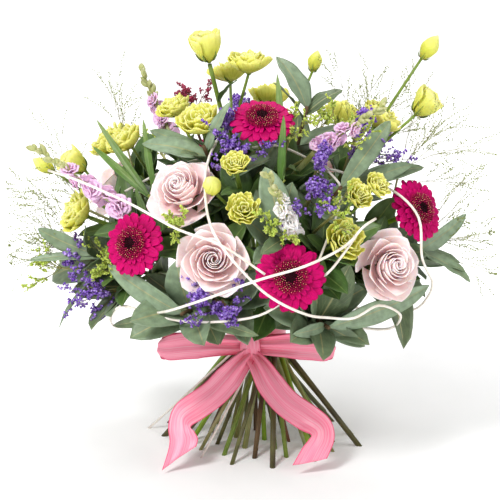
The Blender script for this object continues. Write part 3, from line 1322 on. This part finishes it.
def draw_rosette(bm):
    """A double floret of radius 1, looking along +Z, its back at 0."""
    maker = random.Random(3)
    for count, radius, height, span, start in ROSETTE_RINGS:
        for index in range(count):
            turn = math.radians(start + index * 360 / count + maker.uniform(-9, 9))
            phase = maker.uniform(0, 6)

            def shape(u, v):
                edge = v * v
                reach = through(0.08, radius * 0.7, radius, v) * (1 + 0.08 * u)
                reach += 0.05 * edge * math.sin(5 * u + phase)
                up = through(0.0, height * 0.9, height, v)
                up += 0.08 * edge * math.cos(4 * u + phase) - 0.10 * u * u * v
                angle = turn + math.radians(span) * u * through(0.4, 1, 0.85, v)
                return Vector((reach * math.cos(angle), reach * math.sin(angle), up))
            bend(bm, 5, 4, shape, 0.2 + 0.5 * radius)


def draw_bud(bm):
    """A bud of length 1 along +Z, of two sepals closed on each other."""
    def shape(u, v):
        turn = math.pi * u
        radius = 0.28 * math.sin(math.pi * min(v * 0.96 + 0.04, 1)) ** 0.7 * (1 - 0.15 * abs(math.sin(turn)))
        return Vector((radius * math.cos(turn), radius * math.sin(turn), v))
    bend(bm, 8, 6, shape, 0.4)
    bmesh.ops.remove_doubles(bm, verts=bm.verts, dist=0.01)


rosette = template("stock_rosette", draw_rosette)
stock_bud = template("stock_bud", draw_bud)
print("a rosette has", len(rosette.polygons), "faces and a bud", len(stock_bud.polygons))

# %% Stock spikes
EXTRA_BUDS = 16
for name, (_, point, length, count, size) in STOCKS.items():
    axis = looking(*point)
    line = lines[name]
    foot = line[-1]
    tip = foot + axis * length * MM
    green = bmesh.new()
    draw_stem(green, name, draws)
    roll(green, smooth_line([foot - axis * 2 * MM, foot.lerp(tip, 0.5), tip], 5),
         lambda v: radii[name] * (0.9 - 0.5 * v), sides=8)
    stem_piece(name + "_stalk", green, name)
    petals = bmesh.new()
    buds = bmesh.new()
    for index in range(count + 4):
        share = (index + 0.6) / (count + 4)
        root = foot.lerp(tip, share)
        bud = index >= count

        def stand(choice):
            turn, tilt, scale = choice
            out = side_way(axis, math.radians(index * GOLDEN_ANGLE + turn))
            out = (out * math.cos(math.radians(tilt)) + axis * math.sin(math.radians(tilt))).normalized()
            return frame_at(root, out)
        tilt = 60 if bud else 18 + 30 * share
        choices = [(turn, tilt + up, scale) for scale in (1, 0.8) for turn in (0, 25, -25, 50, -50)
                   for up in (0, 18)]
        wide = 3.0 if bud else size * (1 - 0.35 * share)

        def probe(choice):
            place = stand(choice)
            if bud:
                return [place @ (Vector((0, 0, 11 * choice[2])) * MM)]
            rim = wide * choice[2]
            return [place @ (Vector((rim * math.cos(a), rim * math.sin(a), 8)) * 0.9 * MM) for a in range(6)]
        found = best_match(name, probe, choices, 3.0)
        if not found:
            continue
        if bud:
            copy_in(buds, stock_bud, stand(found) @ sized(12 * found[2] * MM))
        else:
            copy_in(petals, rosette, stand(found) @ sized(wide * found[2] * 1.35 * MM, 11 * MM))
    for extra in range(count // 2):
        share = (extra + 0.3) / (count // 2 + 3)
        out = side_way(axis, math.radians(extra * GOLDEN_ANGLE + 68))
        stand_at = frame_at(foot.lerp(tip, share), out + axis * (0.3 + 0.5 * share))
        copy_in(petals, rosette, stand_at @ sized(size * (1.2 - 0.35 * share) * MM, 9 * MM))
    for _ in range(EXTRA_BUDS):
        share = draws.uniform(0.45, 1.0)
        out = side_way(axis, draws.uniform(0, math.tau))
        out = (out + axis * draws.uniform(0.8, 2.2)).normalized()
        copy_in(buds, stock_bud, frame_at(foot.lerp(tip, share), out) @ sized((11 - 4 * share) * MM))
    finish = pale_stock_finish if name == "stock_3" else stock_finish
    finish_piece(name + "_florets", petals, [finish], name, "stock_petal", 0.35 * MM)
    finish_piece(name + "_buds", buds, [bud_finish], None, "green_stem")
    own_leaves(name, 2, 50, 10, 0.9)
print("stock_1:", totals["stock_1_florets"], "triangles in its florets")

# %% [markdown]
# ## The sprays
# Sea lavender, penny-cress, fountain grass and astilbe are airy. Their stems split again and again, and each
# last twig ends in a papery floret, a flat seed pod or a seed. The frame holds the first twigs, and the finer
# ones grow from those here.

# %% Florets, pods and seeds
def draw_statice(bm):
    """A papery floret of length 1 that opens in five points."""
    def star(u, v):
        turn = math.pi * u
        open_at = (0.0, 0.10, 0.50, 0.0)[round(v * 3)]
        height = (0.0, 0.55, 1.0, 0.72)[round(v * 3)]
        ray = 1.0 if round((u + 1) * 5) % 2 else 0.52
        return Vector((open_at * math.cos(turn) * ray, open_at * math.sin(turn) * ray, height))
    bend(bm, 10, 3, star, 0.5)
    bmesh.ops.remove_doubles(bm, verts=bm.verts, dist=0.01)


def draw_pod(bm):
    """A flat round pod of diameter 1, thicker over its seeds, standing on its stalk's end."""
    def shape(u, v):
        turn = math.pi * u
        wide = 0.5 * math.sin(math.pi * v)
        return Vector((wide * math.cos(turn), 0.09 * math.sin(math.pi * v) * math.sin(turn), v))
    bend(bm, 6, 3, shape, 0.5)
    bmesh.ops.remove_doubles(bm, verts=bm.verts, dist=0.02)


def draw_seed(bm):
    """A slim seed of length 1."""
    bend(bm, 4, 2, lambda u, v: Vector((0.20 * math.sin(math.pi * v) * math.cos(math.pi * u),
                                       0.20 * math.sin(math.pi * v) * math.sin(math.pi * u), v)), 0.5)
    bmesh.ops.remove_doubles(bm, verts=bm.verts, dist=0.01)


grains = {"sea": template("statice", draw_statice), "penny": template("pod", draw_pod),
          "fountain": template("seed", draw_seed), "astilbe": template("plume_floret", draw_statice)}
# How a spray branches: the twigs to a tuft, their spread in degrees and how far apart they leave the stem,
# the same as in the frame, then how many fine twigs each has, their length as a share, and the dots on each.
HABITS = {
    "sea": (6, 56, 1.6, 8, 0.40, 8),
    "penny": (5, 60, 1.8, 10, 0.46, 8),
    "fountain": (6, 48, 3.0, 12, 0.58, 9),
    "astilbe": (6, 50, 1.8, 12, 0.36, 12),
}
GRAIN_SIZES = {"sea": 3.6, "penny": 2.9, "fountain": 2.9, "astilbe": 2.6}
SPRAY_FINISHES = {
    "sea": (statice_finish, "sea_lavender_floret"),
    "penny": (pod_finish, "penny_cress_pod"),
    "fountain": (seed_finish, "fountain_grass_seed"),
    "astilbe": (plume_finish, "astilbe_floret"),
}
print("florets, pods and seeds:", len(grains), "templates")

# %% Keeping inside the frame's box
INSET = 4 * MM
inner_low = Vector(cad_box[0]) + Vector((INSET, INSET, INSET))
inner_high = Vector(cad_box[1]) - Vector((INSET, INSET, INSET))


def kept_in(start, end):
    """The end, drawn back towards its start until it lies inside the frame's box."""
    share = 1.0
    for low, high, a, b in zip(inner_low, inner_high, start, end):
        if b > high:
            share = min(share, max((high - a) / (b - a), 0))
        elif b < low:
            share = min(share, max((low - a) / (b - a), 0))
    return start.lerp(end, share)


print("fine twigs end", round(INSET / MM), "mm inside the box")

# %% Growing the sprays
def spray(name, tufts, draws):
    """A stem with its tufts: the frame's twigs, the fine ones on them, and what each fine one bears."""
    kind = kind_of(name)
    twigs, spread, apart, fine, fine_length, per_twig = HABITS[kind]
    fineness = 0.6 if kind == "fountain" else 1.0
    line = lines[name]
    green = bmesh.new()
    draw_stem(green, name, draws)
    dots = bmesh.new()
    for index, (azimuth, lean, reach, size) in enumerate(tufts):
        root = line[-1]
        back = (line[-1] - line[-2]).normalized()
        if index > 0:
            start, _ = point_on(line, 0.9 - 0.16 * index)
            ends = [polar(*where) for where in nudges((azimuth, lean, reach - size * 0.8))]
            root = best_match(
                name, lambda end: [start.lerp(end, share) for share in (0.5, 0.8, 1.0)], ends, 2.5)
            if root is None:
                continue
            roll(green, smooth_line([start, start.lerp(root, 0.5), root], 3),
                 lambda v: radii[name] * (0.75 - 0.2 * v), sides=7)
            back = (root - start).normalized()
        axis = (polar(azimuth, lean, reach) - HEART).normalized()
        for twig in range(twigs):
            share = math.sqrt((twig + 0.3) / twigs)

            def reach_out(choice):
                turn, narrow, length = choice
                tilt = math.radians(spread * share * narrow)
                out = side_way(axis, math.radians(twig * GOLDEN_ANGLE + index * 40 + turn))
                out = (axis * math.cos(tilt) + out * math.sin(tilt)).normalized()
                begin = root - back * (0.6 + twig * apart) * MM
                return begin, begin + out * (size * length * (1 + 0.2 * share) + twig * apart * 0.7) * MM
            found = best_match(name, lambda choice: [reach_out(choice)[0].lerp(reach_out(choice)[1], s)
                                                     for s in (0.4, 0.7, 0.95)],
                               [(turn, narrow, length) for length in (1, 0.8, 0.62)
                                for narrow in (1, 0.7, 0.4) for turn in (0, 20, -20, 40)], 4.0)
            if not found:
                continue
            begin, end = reach_out(found)
            run = end - begin
            bow = draws.uniform(-0.06, 0.06)
            bowed = begin.lerp(end, 0.5) + run.orthogonal().normalized() * run.length * bow
            main = smooth_line([begin, bowed, end], 4)
            roll(green, main, lambda v: fineness * (0.55 - 0.3 * v) * MM, sides=5)
            for fork in range(fine):
                at = main[min(2 + round(fork * (len(main) - 3) / max(fine - 1, 1)), len(main) - 1)]
                way = (run.normalized() + Vector([draws.uniform(-0.8, 0.8) for _ in range(3)])).normalized()
                long = run.length * fine_length * draws.uniform(0.6, 1.1)
                tip = kept_in(at, at + way * long + axis * long * 0.12)
                path = [at, at.lerp(tip, 0.5) + run.normalized() * long * 0.05, tip]
                roll(green, path, lambda v: fineness * (0.3 - 0.16 * v) * MM, sides=3)
                for dot in range(per_twig):
                    v = 0.35 + 0.65 * (dot + 1) / per_twig
                    spot = through(*path, v)
                    out = (way + Vector([draws.uniform(-0.9, 0.9) for _ in range(3)])).normalized()
                    grain = GRAIN_SIZES[kind] * draws.uniform(0.7, 1.1) * MM
                    stand = frame_at(spot, out, draws.uniform(0, 360))
                    copy_in(dots, grains[kind], stand @ sized(grain), draws.uniform(0, 1))
    finish, slot_name = SPRAY_FINISHES[kind]
    finish_piece(name + "_" + slot_name.split("_")[-1] + "s", dots, [finish], name, slot_name)
    stem_piece(name + "_stalk", green, name)


for table in (SEA_LAVENDER, PENNY_CRESS, ASTILBE, FOUNTAIN_GRASS):
    for name, tufts in table.items():
        spray(name, tufts, draws)
print("sea_lavender_1:", totals["sea_lavender_1_florets"], "triangles in its florets")

# %% [markdown]
# ## Eucalyptus and grass
# Eucalyptus leaves are leathery and grey-green, each with a pale midrib and a slight fold along it. They lie
# behind the flowers as a cushion and stand out round the edge as a collar. The grass blades are long and
# narrow, ribbed along their length.

# %% Leafy stems
# The turns and tilts, in degrees, that the CAD source tries until a leaf is clear of its neighbours.
LEAF_TURNS = ((0, 0), (6, 0), (-6, 0), (0, 5), (0, -5), (12, 4), (-12, 4), (8, -8), (-8, -8))


def leafy(name, branches, finish, slot_name, draws):
    """A stem with its branches and their leaves, each leaf where the frame holds it."""
    line = lines[name]
    radius = radii[name]
    green = bmesh.new()
    draw_stem(green, name, draws)
    leaves = bmesh.new()
    for index, branch in enumerate(branches):
        end = line[-1]
        back = (line[-1] - line[-2]).normalized()
        if index > 0:
            start, _ = point_on(line, 0.42)
            ends = [polar(*where) for where in nudges(branch[0])]
            end = best_match(name, lambda at: [start.lerp(at, share) for share in (0.4, 0.7, 1.0)], ends, 2.5)
            if end is None:
                print("no branch", name)
                continue
            side = smooth_line([start, start.lerp(end, 0.5), end], 4)
            roll(green, side, lambda v: radius * (0.8 - 0.3 * v))
            back = (end - start).normalized()
        for order, (azimuth, lean, reach, width) in enumerate(branch[1:]):
            root = end - back * (2 + order * 7) * MM

            def place_leaf(choice):
                turn, tilt, lift, shrink = choice
                tip = root.lerp(polar(azimuth + turn, lean + tilt, reach + lift), shrink)
                outward = (root.lerp(tip, 0.5) - HEART).normalized()
                return root, tip, width * MM * shrink, outward, 0.07 if width > 11 else 0.02
            found = best_match(name, lambda choice: leaf_probe(*place_leaf(choice)),
                               [(turn, tilt, lift, shrink) for shrink in (1, 0.85, 0.7)
                                for lift in (0, 8, 16, 24) for turn, tilt in LEAF_TURNS])
            if found:
                bend(leaves, 8, 14, leaf_form(*place_leaf(found), 0.9 * MM), draws.uniform(0, 1))
            else:
                print("no leaf", name, order)
    finish_piece(name + "_leaves", leaves, [finish], name, slot_name, 0.55 * MM)
    stem_piece(name + "_stalk", green, name)


for name, branches in EUCALYPTUS.items():
    leafy(name, branches, gum_finish, "eucalyptus_leaf", draws)
for name, branches in GRASS.items():
    leafy(name, branches, blade_finish, "grass_leaf", draws)

# %% [markdown]
# ## The leaves between the heads
# A florist leaves the upper leaves on: they carry the heads apart and close the bouquet, so that no daylight
# shows between the flowers. Each one here starts on a stem. From many directions it takes the one that keeps
# clear of the frame's solids and covers a part of the dome that no other leaf covers yet.

# %% The solids to keep clear of
solid_corners = []
solid_faces = []
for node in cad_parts.values():
    first = len(solid_corners)
    solid_corners += [vert.co.copy() for vert in node.data.vertices]
    solid_faces += [[first + index for index in face.vertices] for face in node.data.polygons]
solids = BVHTree.FromPolygons(solid_corners, solid_faces)
print("the solids have", len(solid_faces), "faces to keep clear of")

# %% Leaves grown between the heads
FILL_REACH = (150, 206)  # how far from the tie the middle of a filling leaf may lie, in millimetres
TIP_REACH = 222  # how far from the tie its tip may lie
FILL_LENGTH = (46, 70)
FILL_TRIES = 26
APART = 30 * MM  # a leaf this far from all others fills a gap of its own
covered = []


def filling_leaf(name, draws):
    """The best of many leaves that could grow from this stem, as root, tip, width, outward and bow."""
    best, best_score = None, -1.0
    for _ in range(FILL_TRIES):
        root, _ = point_on(lines[name], draws.uniform(0.30, 0.86))
        out = (root - TIE).normalized()
        side = side_way(out, draws.uniform(0, math.tau))
        length = draws.uniform(*FILL_LENGTH) * MM
        tip = root + (out * draws.uniform(0.5, 1.5) + side).normalized() * length
        middle = root.lerp(tip, 0.6)
        reach = (middle - TIE).length / MM
        width = draws.uniform(0.42, 0.56) * length
        if not FILL_REACH[0] < reach < FILL_REACH[1] or (tip - TIE).length > TIP_REACH * MM:
            continue
        if kept_in(root, tip) != tip or tip.z < TIE.z - 5 * MM:
            continue
        outward = ((middle - TIE).normalized() + Vector((0, 0, 0.15))).normalized()
        form = leaf_form(root, tip, width, outward, 0.05)
        room = min(solids.find_nearest(form(u, v))[3] for u, v in
                   ((0, 0.3), (0, 0.55), (0, 0.8), (0, 1), (0.8, 0.4), (-0.8, 0.4), (0.8, 0.7), (-0.8, 0.7)))
        fresh = min([(middle - other).length for other in covered] + [APART])
        score = min(room / (2.5 * MM), 1) + 1.6 * fresh / APART
        if score > best_score:
            best, best_score = (root, tip, width, outward, 0.05), score
    if best:
        covered.append(best[0].lerp(best[1], 0.6))
    return best


print("the middle of a filling leaf lies", FILL_REACH, "mm from the tie")

# %% [markdown]
# Chance leaves room for gaps. Where the photograph shows leaves right above the bow and between the front
# heads, a leaf is laid on purpose: its middle is given, and it grows from whichever stem is well placed.

# %% Leaves that cover the stems
# Where a leaf covers the stems between the heads: the azimuth, lean and reach of its middle.
COVERING = (
    (-8, 57, 146), (-4, 62, 128), (44, 63, 158), (-45, 53, 150), (-50, 60, 148), (-58, 44, 160),
    (70, 44, 180), (61, 74, 150), (12, 66, 140), (-18, 72, 140), (-9, 68, 112), (3, 68, 110),
    (14, 68, 112), (26, 70, 116), (-20, 71, 112), (-58, 74, 165), (-66, 75, 155), (-72, 70, 165),
    (52, 55, 150), (30, 60, 140), (-30, 62, 140), (78, 58, 165), (-84, 68, 180), (-56, 58, 158),
    (66, 66, 165),
)


def covering_leaf(azimuth, lean, reach):
    """The stem that a leaf with its middle here can grow from, and the leaf."""
    middle = polar(azimuth, lean, reach)
    roots = []
    for name in sorted(lines):
        if kind_of(name) not in ("cane", "grass", "fountain"):
            shares = (0.2, 0.3, 0.4, 0.5, 0.6, 0.7, 0.8)
            roots += [(name, point_on(lines[name], share)[0]) for share in shares]
    roots = [(name, root) for name, root in roots if (root - TIE).length < reach * MM]
    name, root = min(roots, key=lambda choice: abs((choice[1] - middle).length - 30 * MM))
    tip = root.lerp(middle, 1.75)
    outward = (middle - TIE).normalized() + Vector((0, 0, 0.15))
    return name, (root, tip, 0.55 * (tip - root).length, outward, 0.06)


extras = {}
for where in COVERING:
    name, leaf = covering_leaf(*where)
    if kept_in(leaf[0], leaf[1]) == leaf[1]:
        extras.setdefault(name, []).append(leaf)
        covered.append(leaf[0].lerp(leaf[1], 0.6))
print("covering leaves:", len(covered))

# %% Filling every kind of stem
# How many leaves are tried for on each stem. Gerberas grow none, so they carry only covering ones.
FILLERS = {"rose": 6, "gerbera": 0, "lisianthus": 7, "stock": 6, "eucalyptus": 7, "sea": 3, "penny": 3}
for word, count in FILLERS.items():
    for name in [name for name in sorted(lines) if kind_of(name) == word]:
        found = [filling_leaf(name, draws) for _ in range(count)] + extras.get(name, [])
        if not found:
            continue
        bm = bmesh.new()
        for leaf in [leaf for leaf in found if leaf]:
            bend(bm, 6, 9, leaf_form(*leaf, 0.8 * MM), draws.uniform(0, 0.8))
        owner = name.replace("_stem", "")
        finish = gum_finish if word in ("eucalyptus", "sea") else green_leaf
        finish_piece(owner + "_filling_leaves", bm, [finish], None, "green_stem", 0.5 * MM)
print("filling leaves:", len(covered))

# %% [markdown]
# ## The canes
# Thin peeled canes are looped over the flowers and rest on them. The frame holds each as straight runs. Here
# a line from the tie finds where each spot of the run lies, and a smooth curve goes through those spots.

# %% Canes
def on_cane(name, spot):
    """Where the frame's cane passes over this azimuth and lean."""
    way = (polar(*spot, 200) - TIE).normalized()
    hit = trees[name].ray_cast(TIE + way * 60 * MM, way)[0]
    if hit is None:
        near = [trees[name].find_nearest(polar(*spot, reach)) for reach in range(150, 330, 3)]
        hit = min(near, key=lambda found: found[3])[0]
    return hit + way * radii[name] * 0.7


for name, paths in CANES.items():
    bm = bmesh.new()
    for order, path in enumerate(paths):
        points = [on_cane(name, spot) for spot in path]
        if order == 0:
            curve = stem_curve(name)
            line = curve[:4] + smooth_line(lines[name][1:4] + points, 5)
            roll(bm, line, lambda v: radii[name] * 0.85, sides=10, level=True)
        else:
            roll(bm, smooth_line(points, 5), lambda v: radii[name] * 0.8, sides=10)
    close_ends(bm)
    finish_piece(name + "_run", bm, [cane_finish], name, "peeled_cane")
print("cane_1:", totals["cane_1_run"], "triangles")

# %% [markdown]
# ## The ribbon and the twine
# One length of satin is turned about the tie and made into a bow. It is soft: gathered in the knot it falls
# in folds, and it opens to its full width in the loops. Its woven edges are a little darker. Each run is
# declared as a sheet, with the flat size that it was cut to.

# %% The bow
RIBBON_WIDTH = 27 * MM
# Stations of each run: x, how far forward and z in millimetres, then the direction of its width.
LEFT_LOOP = ((-4, 10, 103, 0, 0, 1), (-22, 13, 104, 0, 0, 1), (-44, 17, 106, 0, 0.05, 1),
             (-66, 19.5, 106, 0.05, 0.05, 1), (-82, 19, 104, 0.1, 0, 1), (-90, 15, 103, 0.12, 0, 1),
             (-88, 9.5, 102, 0.1, 0, 1), (-76, 6, 102, 0.05, -0.05, 1), (-54, 4, 102, 0, -0.05, 1),
             (-28, 3.5, 102, 0, 0, 1), (-6, 4.5, 102, 0, 0, 1))
RIGHT_LOOP = ((-8, 10, 103, 0, 0, 1), (10, 13, 104, 0, 0, 1), (30, 16, 105, 0, 0.05, 1),
              (50, 18.5, 105, -0.05, 0.05, 1), (64, 18, 103, -0.1, 0, 1), (71, 14, 102, -0.12, 0, 1),
              (69, 8.5, 101, -0.1, 0, 1), (58, 6, 101, -0.05, -0.05, 1), (38, 4.5, 101, 0, -0.05, 1),
              (14, 3.5, 102, 0, 0, 1), (-6, 4.5, 102, 0, 0, 1))
LEFT_TAIL = ((-6, 14, 97, 0.76, 0.1, -0.64), (-16, 26, 90, 0.76, 0.1, -0.64), (-27, 33, 78, 0.74, 0, -0.66),
             (-40, 38, 65, 0.66, -0.1, -0.72), (-56, 45, 55, 0.5, -0.3, -0.8), (-69, 52, 47, 0.6, -0.6, -0.6),
             (-70, 60, 37, 0.9, -0.3, -0.1), (-68, 67, 26, 1, 0, 0.1), (-75, 79, 7, 0.98, 0.1, 0.25))
RIGHT_TAIL = ((-5, 14, 96, 0.9, 0, 0.3), (4, 25, 87, 0.86, 0, 0.42), (14, 34, 72, 0.82, 0, 0.5),
              (28, 42, 57, 0.7, 0.1, 0.66), (46, 50, 46, 0.62, 0.3, 0.7), (60, 58, 38, 0.7, 0.6, 0.3),
              (61, 66, 30, 0.9, 0.4, -0.1), (55, 75, 21, 0.96, 0.1, -0.2), (46, 86, 7, 0.95, 0, -0.3))


print("stations:", len(LEFT_LOOP), len(RIGHT_LOOP), len(LEFT_TAIL), len(RIGHT_TAIL))

# %% A run of ribbon
def envelope(height):
    """The bundle's radius this far above the tie."""
    return max(waists[n].length * math.sqrt(1 + (SLOPE * height) ** 2) + radii[n] for n in waists)


def loop_end(v):
    """How far round the far end of a loop this is, which is where it rounds out."""
    return math.exp(-((v - 0.5) / 0.07) ** 2)


def ribbon_run(name, stations, front, squeeze, held, cut, rounding):
    """A run of ribbon through its stations.

    squeeze(v) is how much of its width shows, the rest being folds, and cut is how much longer one edge is.
    """
    middles = smooth_line([Vector((TIE.x + x * MM, TIE.y + front - f * MM, z * MM))
                           for x, f, z, _, _, _ in stations], 6)
    widths = smooth_line([Vector(station[3:]).normalized() for station in stations], 6)
    last = len(middles) - 1
    length = sum((b - a).length for a, b in zip(middles, middles[1:]))
    bm = bmesh.new()

    def shape(u, v):
        v = v * (1 - cut * (1 + u) / 2)
        at = min(int(v * last), last - 1)
        part = v * last - at
        middle = middles[at].lerp(middles[at + 1], part)
        run = (middles[min(at + 2, last)] - middles[max(at - 1, 0)]).normalized()
        wide = widths[at].lerp(widths[at + 1], part).normalized()
        face = run.cross(wide).normalized()
        shown = min(squeeze(v), 0.99)
        fold = RIBBON_WIDTH * 0.5 * math.sqrt(1 - shown * shown) / 4.2
        shown *= 1 - 0.34 * rounding(v)
        wave = math.sin(u * math.pi * 2.1 + 0.6 + v * 1.5)
        swell = Vector((middle.x - TIE.x, 0, 0)).normalized() * 4 * MM * (1 - u * u) * rounding(v)
        return middle + wide * u * RIBBON_WIDTH / 2 * shown + face * wave * fold + swell
    bend(bm, 24, last, shape)
    piece = finish_piece(name, bm, [satin], "ribbon_bow", "satin_ribbon", 0.3 * MM)
    return length


def gathered_ends(v):
    """The share of the width that shows in a loop, gathered at both ends in the knot."""
    return 1 - 0.46 * max(1 - v * 4, 0, (v - 0.80) / 0.20) ** 0.8


def gathered_start(v):
    """The share of the width that shows in a tail, gathered at its start."""
    return 1 - 0.46 * max(1 - v * 4, 0)


print("the bundle is", round(envelope(0) / MM, 1), "mm in radius at the tie")

# %% Loops and tails
waisted = envelope(4 * MM) + 2 * GAP + 3.3 * TWINE_RADIUS
front = -(waisted + 0.4 * MM)
runs = {
    "bow_loop_left": (LEFT_LOOP, gathered_ends, "folded", 0, loop_end),
    "bow_loop_right": (RIGHT_LOOP, gathered_ends, "folded", 0, loop_end),
    "bow_tail_left": (LEFT_TAIL, gathered_start, "hung", 0.09, lambda v: 0),
    "bow_tail_right": (RIGHT_TAIL, gathered_start, "hung", 0.09, lambda v: 0),
}
for name, (stations, squeeze, how, cut, rounding) in runs.items():
    length = ribbon_run(name, stations, front, squeeze, how, cut, rounding)
    print(name, "is cut", round(length / MM), "mm long")

# %% Band and knot
bm = bmesh.new()
inner = max(envelope(RIBBON_WIDTH / 2) + 2 * GAP, waisted + 0.3 * MM)


def about_the_tie(u, v):
    """The turn of ribbon about the tie."""
    turn = v * math.tau
    fold = 0.25 * MM * math.sin(u * 9 + 2 * math.sin(turn * 3))
    radius = waisted + (inner - waisted) * u * u + 0.4 * MM + fold
    return TIE + Vector((radius * math.sin(turn), radius * math.cos(turn), u * RIBBON_WIDTH / 2))


bend(bm, 16, 64, about_the_tie)
bmesh.ops.remove_doubles(bm, verts=bm.verts, dist=0.01 * MM)
band = finish_piece("bow_band", bm, [satin], "ribbon_bow", "satin_ribbon", 0.3 * MM)

bm = bmesh.new()
KNOT_HALF = Vector((11 * MM, 8.4 * MM, 15.0 * MM))
knot_middle = Vector((TIE.x - 6 * MM, TIE.y + front - 8.4 * MM, 102 * MM))


def over_the_knot(u, v):
    """The turn of ribbon that closes the knot: narrow in the middle, with folds along it."""
    turn = v * math.tau
    pinch = 0.80 + 0.10 * math.cos(2 * turn)
    fold = 0.75 * MM * math.sin(u * 8 + 0.5 * math.sin(turn * 2)) + 0.4 * MM * math.sin(u * 15 + turn)
    bulge = 1 - 0.22 * u * u
    return knot_middle + Vector((u * KNOT_HALF.x * pinch,
                                 -(KNOT_HALF.y * bulge + fold) * math.cos(turn),
                                 (KNOT_HALF.z * bulge + fold) * math.sin(turn)))


bend(bm, 24, 40, over_the_knot)
bmesh.ops.remove_doubles(bm, verts=bm.verts, dist=0.01 * MM)
knot = finish_piece("bow_knot", bm, [satin], "ribbon_bow", "satin_ribbon", 0.3 * MM)

print("the knot is", [round(2 * half / MM) for half in KNOT_HALF], "mm")

# %% [markdown]
# The twine is what really holds the bouquet. It is wound three times about the tie before the ribbon goes
# over it, as one round cord on a screw line that follows the bundle's waist.

# %% The twine
TWINE_TURNS = 3
bm = bmesh.new()
steps = 40
points = []
for count in range(TWINE_TURNS * steps + 1):
    turn = count / steps * math.tau
    height = (count / steps - TWINE_TURNS / 2) * (2 * TWINE_RADIUS + GAP)
    out = envelope(height) + GAP + TWINE_RADIUS
    points.append(TIE + Vector((out * math.sin(turn), -out * math.cos(turn), height)))
roll(bm, points, lambda v: TWINE_RADIUS, sides=8)
close_ends(bm)
finish_piece("jute_binding", bm, [jute], "twine", "jute_twine")
print("triangles in all:", sum(totals.values()), "in", len(totals), "pieces")
print("triangles in the largest piece:", max(totals.values()))
